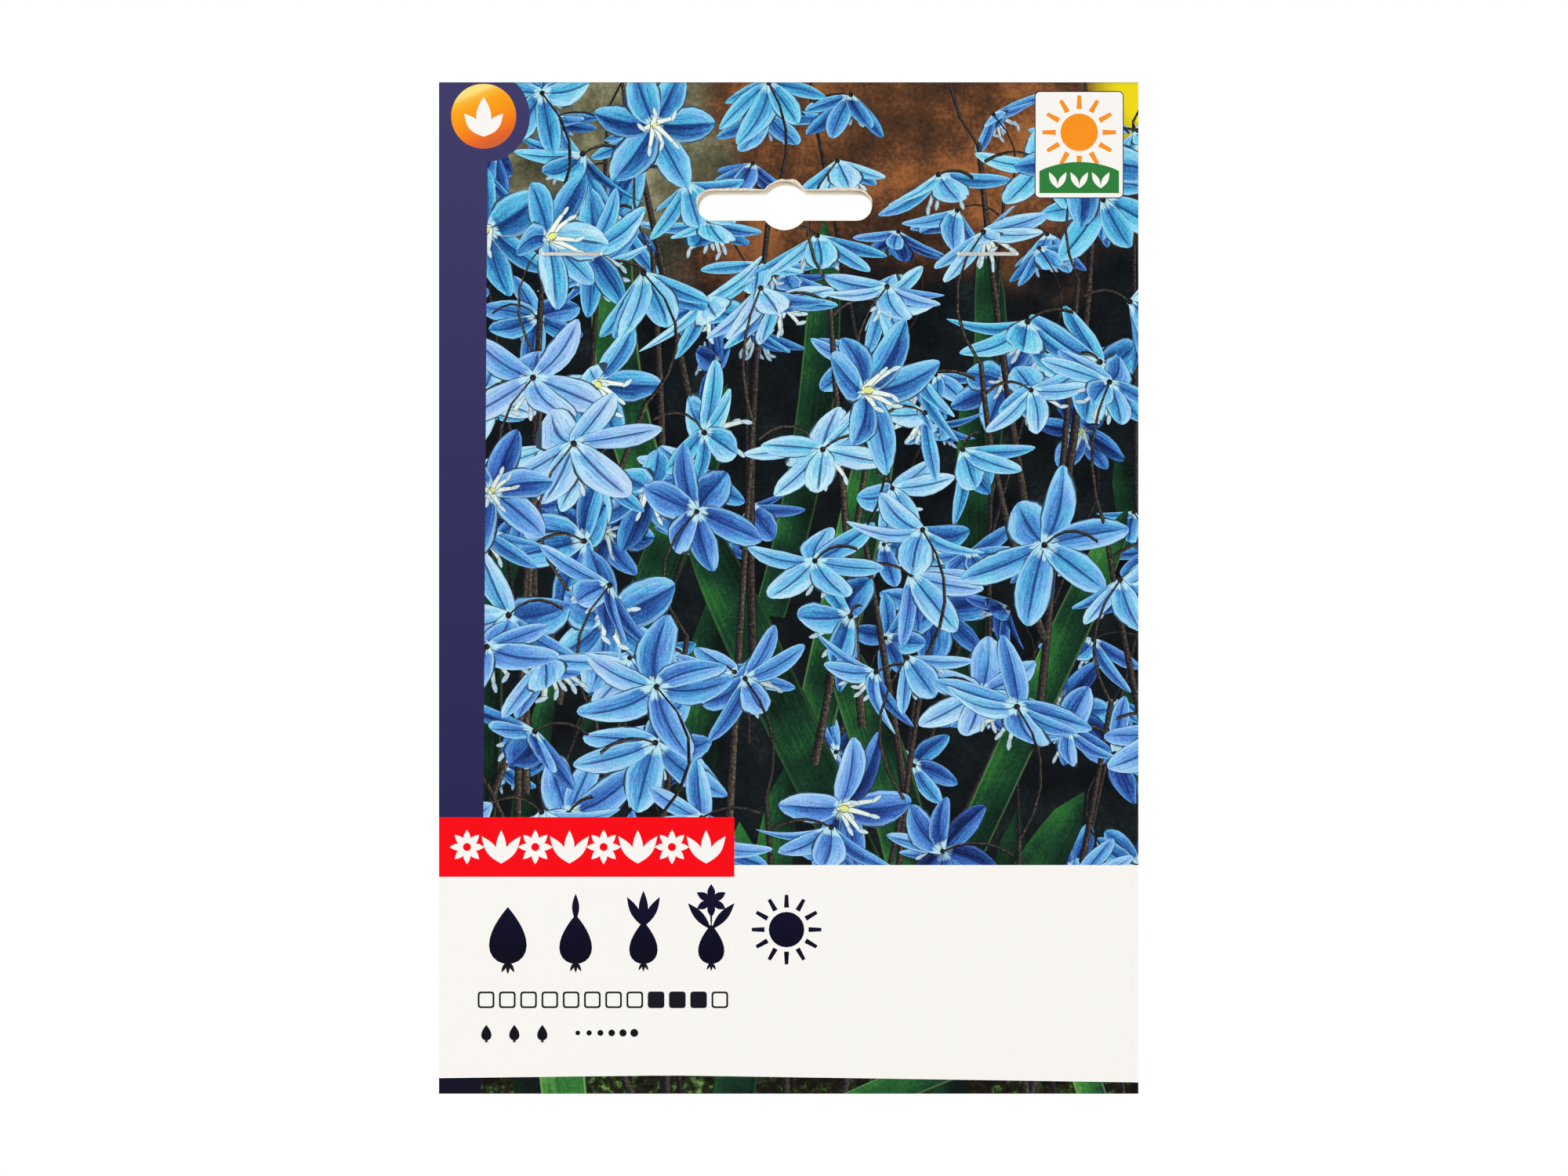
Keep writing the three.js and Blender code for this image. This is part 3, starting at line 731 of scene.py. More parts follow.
sheet.outline(NAVY, np.array([
    [LEFT, BOTTOM], [BAND_EDGE[0], BOTTOM], [BAND_EDGE[1], BAND_BEND], [BAND_EDGE[2], TOP],
    [BAND_EDGE[2], FLAP_START + BAND_OVER], [LEFT, FLAP_START + BAND_OVER],
]))
sheet.outline(NAVY, circle(DISC_X, DISC_Z, DISC_RIM, 48))
sheet.outline(ORANGE, circle(DISC_X, DISC_Z, DISC_RADIUS, 48))
for turns, length in (((0.7, -0.7), 5.6), ([0], 7.4)):
    fan(WHITE, DISC_X, DISC_Z - 3.8, turns, length, 0.38 * length)

foot = np.linspace(0, 1, 24)
foot = np.stack([LEFT + foot * (RIGHT - LEFT), np.interp(foot, [0, 0.33, 1], LABEL_FOOT)], 1)
sheet.outline(WHITE, np.concatenate([foot, [[RIGHT, LABEL_TOP], [LEFT, LABEL_TOP]]]))
sheet.outline(RED, box(LEFT, BANNER_FOOT, BANNER_RIGHT, BANNER_TOP))
for number in range(8):
    x = LEFT + BANNER_INSET + number * BANNER_PITCH
    if number % 2:
        fan(WHITE, x, SPROUT_LINE, (0.0, 0.62, -0.62), 6.2, 1.9)
    else:
        fan(WHITE, x, DAISY_LINE, full_turn(8), DAISY_RADIUS, 0.42 * DAISY_RADIUS)
        sheet.outline(RED, circle(x, DAISY_LINE, 0.24 * DAISY_RADIUS, 12))

first, pitch, foot = GROWTH_ROW
for number, (size, sprouts, stalk) in enumerate(GROWTH):
    bulb_sign(first + number * pitch, foot, size, sprouts, stalk)
sun_sign(*PANEL_SUN, DARK)
months(*MONTH_ROW)
first, pitch, foot = COUNT_ROW
for number in range(3):
    bulb_sign(first + number * pitch, foot, 2.9)
first, pitch, middle = SIZE_ROW
for number in range(6):
    sheet.outline(DARK, circle(first + number * pitch, middle, 0.45 + 0.06 * number, 12))

left, low, right, high = PLATE
rim = left - PLATE_LINE, low - PLATE_LINE, right + PLATE_LINE, high + PLATE_LINE
framed(DARK, *rim, 0.98, PLATE_LINE, 0.8)
sun_sign((left + right) / 2, 13.6, 7.0, SUN)
crest = np.linspace(0, 1, 16)
crest_height = 6.4 + 1.7 * np.sin(np.pi * crest) ** 0.8
crest = np.stack([left + 0.7 + crest * (right - left - 1.4), crest_height], 1)
sheet.outline(HILL, np.concatenate([[[right - 0.7, low + 0.8], [left + 0.7, low + 0.8]], crest]))
for number in range(3):
    fan(WHITE, left + 4.1 + number * 4.0, low + 1.7, (0.5, -0.5), 3.4, 1.1)

# The flap's outside, behind the card: the picture runs a little way over the fold, and then a
# pale panel has signs for depth, distance, sun and months.
sheet.behind = True
sheet.outline(WHITE, box(LEFT, FLAP_BOTTOM, RIGHT, FLAP_PANEL_TOP))
sheet.outline(NAVY, box(LEFT, FLAP_PANEL_TOP - 1.2, RIGHT, FLAP_PANEL_TOP))
sheet.outline(RED, box(LEFT, FLAP_BOTTOM, RIGHT, FLAP_BOTTOM + 1.6))
for x, soil, size, sprouts, places in FLAP_SIGNS:
    framed(NAVY, x - SIGN_HALF, SIGN_FOOT, x + SIGN_HALF, SIGN_TOP, 1.6, 0.5, 1.2)
    if soil is None:
        sun_sign(x, (SIGN_FOOT + SIGN_TOP) / 2, 6.6, SUN)
    else:
        sheet.outline(HILL, box(x - SOIL_HALF, soil, x + SOIL_HALF, SOIL_TOP))
    for place in places:
        bulb_sign(x + place, SIGN_BULB_FOOT, size, sprouts)
months(*FLAP_MONTH_ROW)
sheet.behind = False

tear = np.random.default_rng(PRINT_SEED + 1).normal(0, 1, SLOT_POINTS)
tear = np.abs(np.convolve(np.tile(tear, 3), np.hanning(27) / 5, "same")[SLOT_POINTS:2 * SLOT_POINTS])
flap_slot = FLAP_SLOT_SHIFT[0], FLAP_START + FOLD_HEIGHT - FLAP_SLOT_SHIFT[1]
sheet.outline(TORN, slot_outline(0, 0, 0.1, 0.15 + 0.3 * tear))
sheet.outline(NO_INK, slot_outline(0, 0, SLOT_GAP))
sheet.outline(NO_INK, slot_outline(*flap_slot, SLOT_GAP))

corners, triangles, top = sheet.cut()
inks = np.array(sheet.inks)[top]
shades = np.array(sheet.shades)[top]


def folded(points):
    """Points of the flat sheet on the folded board: up the front, round half a circle, and down."""
    x, up = points.T
    turn = np.clip((up - FOLD_HEIGHT) / INK_RADIUS, 0, np.pi)
    height = np.minimum(up, FOLD_HEIGHT) + INK_RADIUS * np.sin(turn) - np.maximum(up - FLAP_START, 0)
    return np.stack([x, FOLD_RADIUS - INK_RADIUS * np.cos(turn), height], 1)


def new_piece(name, points, faces, finishes, chosen=None, smooth=True):
    """A mesh of points in millimetres, with a finish for each face. It rides on the packet."""
    mesh = bpy.data.meshes.new(name)
    mesh.from_pydata((np.asarray(points) * MM).tolist(), [], [list(face) for face in faces])
    for finish in finishes:
        mesh.materials.append(finish.material)
    if chosen is not None:
        mesh.polygons.foreach_set("material_index", np.asarray(chosen, np.int32))
    mesh.polygons.foreach_set("use_smooth", np.full(len(faces), smooth))
    mesh.update()
    piece = bpy.data.objects.new(name, mesh)
    bpy.context.scene.collection.objects.link(piece)
    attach(piece, "root")
    return piece


def add_attribute(piece, name, domain, values):
    """Keeps three numbers for each point, corner or face of a piece, for its finish to read."""
    layer = piece.data.attributes.new(name, "FLOAT_VECTOR", domain)
    layer.data.foreach_set("vector", np.asarray(values, np.float32).ravel())


def ink(finish, shade):
    """Varnished ink. Its gloss is broken up a little by the board under it."""
    finish.set(Base_Color=shade, Roughness=0.35, Specular_IOR_Level=0.16)
    finish.set(Coat_Weight=0.04, Coat_Roughness=0.1)
    return finish.bump(finish.noise(finish.place(), 3.0, 3.0), 0.03, 0.5)


def petal_ink():
    """Blue or violet, lit apart on its two halves, with fine veins, a dark rib, a pale base, a light
    rim and a dark outline."""
    finish = Finish("petal_ink")
    along, across, chance = finish.attribute("blade")
    tone, hue, fold = finish.attribute("shades")
    edge = abs(across)
    place = finish.place()
    half = across.rise(-0.08, 0.08) * 2.0 - 1.0
    vein = finish.vector(along * 2.2, across * 7.0 + chance * 31.0, chance * 17.0)
    vein = finish.noise(vein, 1.0, 3.0, 0.6) - 0.5
    grain = finish.noise(place, 0.4, 2.0, 0.7) - 0.5
    light = tone + fold * half * 0.5 + vein * 0.8 + grain * 0.6 + edge.rise(0.1, 0.8) * 0.22
    light = (light + along.rise(0.3, 1.0) * 0.16 - along.rise(0.35, 0.0) * 0.2 - 0.08) * 0.83
    blue = finish.ramp(
        light, (0.0, 8, 24, 60), (0.22, 28, 82, 146), (0.42, 56, 144, 200), (0.61, 90, 200, 234),
        (0.8, 140, 222, 244), (1.0, 206, 248, 252),
    )
    violet = finish.ramp(
        light, (0.0, 12, 20, 62), (0.22, 36, 70, 148), (0.42, 70, 122, 202), (0.61, 108, 163, 234),
        (0.8, 150, 194, 244), (1.0, 200, 224, 252),
    )
    tint = finish.noise(place, 3.6, 3.0, 0.6) - 0.5
    fine = finish.vector(along * 1.6, across * 15.0 + chance * 50.0, chance * 7.0)
    dark_vein = abs(finish.noise(fine, 1.0) - 0.5).rise(0.035, 0.005) * edge.rise(0.95, 0.7)
    streak = finish.noise(finish.vector(across * 4.0, along * 1.5, chance * 9.0), 0.35) * 1.9
    pale = (along.rise(0.32, 0.04) * streak).rise(0.48, 0.78) * tone.rise(0.05, 0.4)
    shade = finish.mix(blue, violet, hue + tint * 2.3)
    for over, share in (
        ((28, 60, 128), dark_vein * 0.5),
        ((200, 244, 250), pale * 0.85),
        ((24, 46, 116), edge.rise(0.13, 0.03) * along.rise(1.0, 0.8) * 0.85),
        ((12, 20, 46), along.rise(0.09, 0.02) * edge.rise(0.6, 0.2) * 0.8),
        ((166, 218, 246), edge.rise(0.7, 0.84) * tone.rise(0.1, 0.6) * 0.6),
        ((10, 18, 46), edge.rise(0.88, 0.96) * 0.92),
    ):
        shade = finish.mix(shade, over, share)
    return ink(finish, shade)


def leaf_ink():
    """Green, with fine lengthwise veins, a pale edge and a dark outline."""
    finish = Finish("leaf_ink")
    along, across, chance = finish.attribute("blade")
    tone = finish.attribute("shades")[0]
    place = finish.place()
    edge = abs(across)
    vein = finish.vector(along * 3.0, across * 14.0 + chance * 20.0, chance * 9.0)
    vein = finish.noise(vein, 1.0, 3.0, 0.6) - 0.5
    grain = finish.noise(place, 0.7, 3.0, 0.7) - 0.5
    sheen = finish.noise(place, 14.0) - 0.5
    light = tone * 0.75 + vein * 0.5 + grain * 0.55 + along * 0.2 + across * 0.16 + sheen * 1.3
    shade = finish.ramp(
        light, (0.0, 6, 18, 15), (0.35, 20, 60, 38), (0.7, 48, 116, 50), (1.0, 112, 166, 80),
    )
    shade = finish.mix(shade, (128, 168, 104), edge.rise(0.86, 0.93) * tone.rise(0.1, 0.7) * 0.7)
    return ink(finish, finish.mix(shade, (8, 16, 14), edge.rise(0.95, 0.99) * 0.8))


def stem_ink():
    """Near black to grey-brown, lit from one side, with a dark outline."""
    finish = Finish("stem_ink")
    across = finish.attribute("blade")[1]
    grain = finish.noise(finish.place(), 0.5, 3.0, 0.7) - 0.5
    light = finish.attribute("shades")[0] + across.rise(0.9, -0.6) * 0.35 + grain * 1.3
    shade = finish.ramp(
        light, (0.0, 8, 8, 14), (0.4, 34, 30, 36), (0.75, 84, 76, 64), (1.0, 168, 156, 120),
    )
    return ink(finish, finish.mix(shade, (8, 8, 16), abs(across).rise(0.7, 0.95)))


def two_tone_ink(name, dark, light):
    """Dark or light by the flower's own tone, with a fine grain and a dark outline."""
    finish = Finish(name)
    edge = abs(finish.attribute("blade")[1])
    grain = finish.noise(finish.place(), 0.6, 2.0, 0.6)
    shade = finish.mix(dark, light, finish.attribute("shades")[0] * 0.9 + (grain - 0.5) * 0.8)
    outline = (edge + grain * 0.3 - 0.15).rise(0.62, 0.9)
    return ink(finish, finish.mix(shade, [part * 0.35 for part in dark], outline * 0.85))


def ground_ink():
    """Dark soil with moss at its foot, and an olive, rust-brown and yellow blur far off at the top."""
    finish = Finish("ground_ink")
    place = finish.place()
    x, _, z = finish.parts(place)
    blur = finish.noise(place, 26.0) - 0.5
    patch = finish.noise(place, 10.0, 3.0, 0.6)
    grain = finish.noise(place, 0.8, 3.0, 0.7) - 0.5
    tuft = finish.noise(place, 1.5, 3.0, 0.7) + (patch - 0.5) * 0.5
    far = patch + blur * 0.8 + grain * 0.6
    soil = finish.ramp(patch + grain * 0.6, (0.3, 4, 6, 10), (0.6, 16, 24, 28), (0.85, 44, 52, 46))
    moss = finish.ramp(
        tuft, (0.4, 12, 8, 4), (0.54, 34, 30, 16), (0.6, 34, 70, 26), (0.74, 116, 146, 80),
    )
    rust = finish.ramp(far, (0.25, 44, 34, 26), (0.5, 94, 60, 38), (0.75, 160, 100, 56))
    haze = patch + grain * 0.4
    olive = finish.ramp(haze, (0.25, 44, 46, 36), (0.5, 108, 106, 80), (0.75, 176, 172, 138))
    soil = finish.mix(soil, moss, z.rise(-152.0, -160.0))
    far = finish.mix(rust, olive, (x + blur * 60.0).rise(-8.0, -24.0))
    far = finish.mix(far, (240, 218, 20), (x + z * 0.6 + blur * 10.0).rise(68.0, 76.0))
    return ink(finish, finish.mix(soil, far, (z + blur * 50.0).rise(-16.0, 8.0)))


def flat_ink(name, *stops):
    """One colour, or a fade up the card between colours at heights."""
    finish = Finish(name)
    if len(stops) == 1:
        return ink(finish, stops[0])
    height = (finish.parts(finish.place())[2] - BOTTOM) / (TOP - BOTTOM)
    stops = (((z - BOTTOM) / (TOP - BOTTOM), *shade) for z, *shade in stops)
    return ink(finish, finish.ramp(height, *stops))


def orange_ink():
    """Shaded as a ball, from pale orange at its top left to red at its foot."""
    finish = Finish("orange_ink")
    x, _, z = finish.parts(finish.place())
    up = ((z - DISC_Z) * 0.92 - (x - DISC_X) * 0.38) / (2 * DISC_RADIUS) + 0.5
    return ink(finish, finish.ramp(
        up, (0.08, 214, 98, 52), (0.2, 238, 108, 32), (0.36, 246, 134, 26), (0.5, 250, 150, 23),
        (0.7, 251, 164, 24), (0.82, 252, 186, 56), (0.9, 255, 226, 128),
    ))


def torn_finish():
    """The board's white fibres, where the punch has dragged the ink off."""
    finish = Finish("torn_board", Roughness=0.95)
    fibre = finish.noise(finish.place(), 0.25, 3.0, 0.7)
    shade = finish.ramp(fibre, (0.35, 196, 170, 136), (0.5, 236, 220, 194), (0.65, 254, 248, 236))
    return finish.set(Base_Color=shade).bump(fibre, 0.08)


INKS = {
    GROUND: ground_ink(),
    LEAF: leaf_ink(),
    STEM: stem_ink(),
    PETAL: petal_ink(),
    FILAMENT: two_tone_ink("filament_ink", (96, 150, 176), (240, 250, 240)),
    ANTHER: two_tone_ink("anther_ink", (60, 110, 160), (214, 238, 244)),
    OVARY: two_tone_ink("ovary_ink", (96, 130, 70), (232, 240, 150)),
    TORN: torn_finish(),
    # painted shade: the navy ink is painted darker down the card, as shade falling towards its foot
    NAVY: flat_ink(
        "navy_ink_painted_shade", (BOTTOM, 13, 10, 30), (-115, 41, 39, 84), (-55, 50, 47, 93), (TOP, 64, 60, 106),
    ),
    ORANGE: orange_ink(),
    RED: flat_ink("red_ink", (250, 0, 16)),
    WHITE: flat_ink("white_ink", (250, 247, 243)),
    DARK: flat_ink(
        "dark_ink", (-156, 14, 8, 22), (-144, 26, 22, 34), (-140, 4, 2, 26), (-128, 14, 12, 44),
        (0, 30, 28, 72),
    ),
    SUN: flat_ink("sun_ink", (250, 148, 30)),
    HILL: flat_ink("hill_ink", (48, 128, 60)),
}


def printed(name, chosen):
    """The chosen triangles as one skin of ink, with a map that is flat to the board."""
    used, faces = np.unique(triangles[chosen], return_inverse=True)
    numbers, slots = np.unique(inks[chosen], return_inverse=True)
    finishes = [INKS[number] for number in numbers]
    piece = new_piece(name, folded(corners[used]), faces.reshape(-1, 3), finishes, slots, False)
    at = corners[triangles[chosen].ravel()]
    blade = sheet.along_and_across(at, np.repeat(top[chosen], 3))
    add_attribute(piece, "blade", "CORNER", np.stack([*blade, np.repeat(shades[chosen, 3], 3)], 1))
    add_attribute(piece, "shades", "FACE", shades[chosen, :3])
    flat = piece.data.uv_layers.new(name="OFBake")
    flat.data.foreach_set("uv", ((at - at.min(0)) / np.ptp(at, axis=0)).astype(np.float32).ravel())


x, up = corners[triangles].mean(1).T
on_flap = up > FLAP_START
picture = np.isin(inks, PRINT_INKS) & ~on_flap
label = ~np.isin(inks, (*PRINT_INKS, NO_INK)) & ~on_flap
printed("print_picture_left", picture & (x < 0))
printed("print_picture_right", picture & (x >= 0))
printed("print_band", label & (x < BAND_RIGHT) & (up > BANNER_TOP))
printed("print_plate", label & (x > BAND_RIGHT) & (up > BANNER_TOP))
printed("print_panel", label & (up < BANNER_TOP))
printed("print_flap", on_flap & (inks != NO_INK))


# The staples. Each is flat zinc-coated wire, driven through the board from the front. Its crown lies
# across the front, and its two ends are bent in behind the flap.
STAPLE_DEPTH = 0.5
STAPLE_HEIGHT = 0.7
STAPLE_CLINCH = 4.4
STAPLE_BEND = 0.42  # radius of the wire's middle line
CLINCH_SPRING = 0.2
NIPPED_END = 0.6  # of the wire's thickness, where it is cut
WIRE_SQUARENESS = 0.55  # of its section: 1 is an oval, and 0 a rectangle


def rounded_path(points, radius, steps):
    """A path with each inner corner cut off by an arc that touches both of its sides."""
    path = [points[:1]]
    for before, corner, after in zip(points, points[1:], points[2:]):
        back, on = unit(before - corner), unit(after - corner)
        half = np.arccos(np.clip(back @ on, -1, 1)) / 2
        middle = corner + unit(back + on) * radius / np.sin(half)
        start = corner + back * radius / np.tan(half) - middle
        end = corner + on * radius / np.tan(half) - middle
        span = np.pi - 2 * half
        turn = np.linspace(0, span, steps)[:, None]
        path.append(middle + (np.sin(span - turn) * start + np.sin(turn) * end) / np.sin(span))
    return np.concatenate([*path, points[-1:]])


def tube(rings):
    """Points and faces of a closed tube through rings of points, with a point at each end."""
    count, around = rings.shape[:2]
    points = np.concatenate([rings.reshape(-1, 3), [rings[0].mean(0), rings[-1].mean(0)]])
    number = np.arange(count * around).reshape(count, around)
    beside = np.roll(number, -1, 1)
    walls = np.stack([number[:-1], beside[:-1], beside[1:], number[1:]], -1).reshape(-1, 4)
    first, last = np.full((2, around), [[count * around], [count * around + 1]])
    ends = np.stack([[first, beside[0], number[0]], [last, number[-1], beside[-1]]]).transpose(0, 2, 1)
    return points, walls.tolist() + ends.reshape(-1, 3).tolist()


def zinc_finish():
    """Bright zinc with fine lines drawn along the wire and a few dull spots."""
    finish = Finish("zinc_wire", Metallic=0.4)
    x, y, z = finish.parts(finish.place())
    drawn = finish.noise(finish.vector(x * 0.15, y * 9.0, z * 9.0), 1.0)
    spot = finish.noise(finish.place(), 0.9, 3.0, 0.6)
    shade = finish.ramp(drawn, (0.3, 206, 206, 200), (0.5, 236, 236, 231), (0.7, 250, 250, 248))
    shade = finish.mix(shade, (120, 118, 112), spot.rise(0.6, 0.72) * 0.5)
    return finish.set(Base_Color=shade, Roughness=0.3 + spot * 0.2).bump(drawn, 0.02, 0.6)


def staple(node, finish):
    """A rounded flat section carried along one end, the crown and the other end."""
    low, high = (np.array(corner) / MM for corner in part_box(node))
    middle = (low + high) / 2
    half = (high[0] - low[0] - STAPLE_DEPTH) / 2
    front, back = -STAPLE_DEPTH / 2, CARD_BACK + STAPLE_DEPTH / 2
    tip = half + STAPLE_DEPTH / 2 - STAPLE_CLINCH
    path = rounded_path(np.array([
        [-tip, back + CLINCH_SPRING], [-half, back], [-half, front],
        [half, front], [half, back], [tip, back + CLINCH_SPRING],
    ]), STAPLE_BEND, 7)
    aside = -left_of(unit(np.gradient(path, axis=0)))
    section = ways(full_turn(20))
    section = np.sign(section) * np.abs(section) ** WIRE_SQUARENESS / 2
    depth, height = (section * (STAPLE_DEPTH, STAPLE_HEIGHT)).T
    nipped = np.ones(len(path))
    nipped[[0, -1]] = NIPPED_END
    flat = path[:, None] + aside[:, None] * (depth * nipped[:, None])[..., None]
    up = np.broadcast_to(height, flat.shape[:2])
    rings = np.stack([flat[..., 0] + middle[0], flat[..., 1], up + middle[2]], -1)
    piece = new_piece(node + "_wire", *tube(rings), [finish])
    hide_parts(node)


zinc = zinc_finish()
staple("staple_left", zinc)
staple("staple_right", zinc)


# The bulbs. Fifteen small squill bulbs lie loose in the bag. Each has a dry papery skin with
# lengthwise veins, which has torn away round the nose, and a flat root plate with dry root stubs.
BULB_NODES = sorted(name for name in frame["nodes"] if name.startswith("bulb_"))
BULB_AROUND = 72
BULB_RINGS = 54
NOSE_RADIUS = 0.25
SKIN_STEP = 0.22  # from the dry skin in to the scales under it
ROOT_STUBS = 9
STUB_RADII = np.array([0.26, 0.22, 0.16, 0.07])
BULB_SEED = 7


def curve_through(points, count):
    """A smooth curve through points: between two of them it leaves and arrives along the line
    from the one before to the one after."""
    last = len(points) - 1
    at = np.linspace(0, last, count)
    step = np.minimum(at.astype(int), last - 1)
    share = (at - step)[:, None]
    before, start, end, after = (points[np.clip(step + by, 0, last)] for by in (-1, 0, 1, 2))
    leave, arrive = (end - before) / 2, (after - start) / 2
    bend = 2 * start - 2 * end + leave + arrive
    return start + share * (leave + share * (3 * (end - start) - 2 * leave - arrive + share * bend))


BULB_OUTLINE = curve_through(np.array([
    [0.0, 0.3], [0.05, 0.58], [0.16, 0.86], [0.34, 1.0], [0.52, 0.93], [0.7, 0.64], [0.84, 0.32],
    [0.94, 0.15], [1.0, 0.07],
]), BULB_RINGS)  # height in lengths, and radius in radii


def stance(node):
    """A bulb's root, axis, length and radius, from its solid. The axis is the way it is longest,
    and the nose is the thin end."""
    mesh = frame["nodes"][node].data
    points = np.empty(3 * len(mesh.vertices))
    mesh.vertices.foreach_get("co", points)
    points = np.unique(points.reshape(-1, 3).round(6), axis=0) / MM
    middle = points.mean(0)
    axis = np.linalg.eigh(np.cov((points - middle).T))[1][:, 2]
    along = (points - middle) @ axis
    from_axis = np.linalg.norm(points - middle - along[:, None] * axis, axis=1)
    end = 0.4 * np.ptp(along)
    if from_axis[along > end].mean() > from_axis[along < -end].mean():
        axis, along = -axis, -along
    return middle + along.min() * axis, axis, np.ptp(along), from_axis.max()


def bulb_finish():
    """Two layers of skin with fine veins. The outer one is brown, dry and dull, and has peeled off
    in patches with pale edges, over a purple one that shines. The scales at the torn nose are pale
    and moist, and the root plate is grey-brown."""
    finish = Finish("bulb_skin", Specular_IOR_Level=0.4)
    across, over, height = finish.attribute("skin")
    bare, chance, plate = finish.attribute("bare")

    def streaks(wide, long, shift, *noise):
        """Noise with waves so many to the radius round the bulb, and to its length along it."""
        spot = finish.vector(across * wide, over * wide, height * long + chance * shift)
        return finish.noise(spot, *noise)

    vein = streaks(3.2, 0.9, 40.0, 0.42, 4.0, 0.65)
    fine = streaks(12.0, 1.6, 40.0, 0.5)
    layer = streaks(1.5, 1.5, 30.0, 0.95, 5.0, 0.6) + (vein - 0.5) * 0.08
    peeled = layer.rise(0.52, 0.53)
    light = vein * 0.7 + fine * 0.3 + (chance - 0.5) * 0.14
    outer = finish.ramp(
        light, (0.28, 44, 26, 24), (0.44, 88, 56, 44), (0.56, 128, 88, 60), (0.72, 184, 142, 100),
    )
    inner = finish.ramp(
        light, (0.28, 48, 24, 34), (0.44, 88, 50, 58), (0.56, 122, 80, 80), (0.72, 172, 132, 122),
    )
    scale = finish.ramp(fine, (0.3, 150, 112, 122), (0.6, 198, 172, 156), (0.8, 224, 208, 182))
    root = finish.ramp(fine, (0.3, 78, 64, 50), (0.7, 150, 130, 104))
    skin = finish.mix(outer, inner, peeled)
    skin = finish.mix(skin, (206, 170, 130), abs(layer - 0.522).rise(0.01, 0.002) * 0.4)
    finish.set(
        Base_Color=finish.mix(finish.mix(skin, scale, bare), root, plate),
        Roughness=0.5 + vein * 0.3 - peeled * 0.16 + plate * 0.3,
    )
    return finish.bump(vein * 0.5 + fine * 0.35 - peeled * 0.5, 0.2, 0.8)


def bulb(node, finish, random):
    """The outline carried round the axis, raised in ribs and veins, and stepped in along a ragged
    line round the nose where the skin is torn. Each point has its way from the axis and height for
    the finish, and whether it is bare, the bulb's own chance, and whether it is the root plate."""
    root, axis, length, radius = stance(node)
    aside = unit(np.cross(axis, [0, 1, 0]))
    plane = np.array([aside, np.cross(axis, aside)])
    turn = full_turn(BULB_AROUND)
    phases = random.uniform(0, 2 * np.pi, 6)
    height, reach = BULB_OUTLINE[:, :1], BULB_OUTLINE[:, 1:]
    ribs = 0.010 * np.cos(7 * turn + phases[0]) + 0.006 * np.cos(19 * turn + phases[1])
    ribs = ribs + 0.004 * np.cos(31 * turn + phases[2] + 3 * height)
    torn_at = random.uniform(0.76, 0.93) + 0.05 * np.sin(turn + phases[3])
    torn_at = torn_at + 0.03 * np.sin(5 * turn + phases[4]) + 0.02 * np.sin(13 * turn + phases[5])
    bare = np.clip((height - torn_at) / 0.025, 0, 1)
    swell = 0.985 + ribs * np.sin(np.pi * np.clip(height, 0, 1)) ** 0.5
    swell = np.maximum(reach * radius * swell - SKIN_STEP * bare, NOSE_RADIUS)
    rings = root + (height * length)[..., None] * axis + swell[..., None] * (ways(turn) @ plane)
    chance = random.random()
    plate = np.clip((0.035 - height) / 0.02, 0, 1)
    marks = np.stack(np.broadcast_arrays(*ways(turn).T, height, bare, chance, plate), -1).reshape(-1, 6)
    at_root, at_nose = (0, 0, 0, 0, chance, 1), (0, 0, 1, 1, chance, 0)
    points, faces = tube(rings)
    for _ in range(ROOT_STUBS):
        way, out = ways(random.uniform(0, 2 * np.pi)) @ plane, random.uniform(0, 0.26) * radius
        start = root + out * way + 0.15 * axis
        end = start - random.uniform(0.5, 1.2) * axis + random.uniform(0.1, 0.7) * way
        path = start + np.linspace(0, 1, len(STUB_RADII))[:, None] * (end - start)
        stub, walls = tube(path[:, None] + STUB_RADII[:, None, None] * (ways(full_turn(6)) @ plane))
        faces += [[corner + len(points) for corner in face] for face in walls]
        points = np.concatenate([points, stub])
    rest = len(points) - len(marks) - 2
    marks = np.concatenate([marks, [at_root, at_nose], np.tile(at_root, (rest, 1))])
    piece = new_piece(node + "_skin", points, faces, [finish])
    add_attribute(piece, "skin", "POINT", marks[:, :3])
    add_attribute(piece, "bare", "POINT", marks[:, 3:])
    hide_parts(node)
    return root, axis, length, radius


bulb_skin = bulb_finish()
bulb_random = np.random.default_rng(BULB_SEED)
bulbs = [bulb(node, bulb_skin, bulb_random) for node in BULB_NODES]


# The bag. Two films of clear polythene are welded down both sides and across the foot, with fine
# lines pressed into the welds, and punched with round vents. The mouth is pinched flat between the
# card's layers. The films are pulled over the bulbs and crease where they hang free.
BAG_LEFT, _, BAG_BOTTOM = (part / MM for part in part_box("bag")[0])
BAG_RIGHT, _, BAG_TOP = (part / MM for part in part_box("bag")[1])
BAG_MIDDLE = (BAG_LEFT + BAG_RIGHT) / 2
BAG_HALF = (BAG_RIGHT - BAG_LEFT) / 2
PULLED_IN = 4.7
SIDE_SEAM = 4
END_SEAM = 6
SEAM_LIFT = 10.6
PINCHED_TO = FLAP_BOTTOM - 6
FULL_FROM = -95
NARROWS_FROM = -137
FOOT_SHARE = 0.7
FILM = 0.1
FRONT_FILM = BOARD + 0.12
FRONT_WELD, BACK_WELD = 0.1, 0.36  # of the two films in a weld, over its own line
FILM_GAP = 0.25  # between a bulb and the middle of the film over it
FILMS_APART = 0.3
WELD_LINE = 0.09  # depth of the lines pressed into the welds, which are 1 mm apart
WELD_EDGE = 0.2
BULB_ROOM = [(0, 0), (1, 0), (-1, 0), (0, 1), (0, -1)]  # across and up, round each point
GRIDS = [(29, 39, 500), (57, 77, 250), (113, 154, 160)]  # columns, rows and rounds of settling
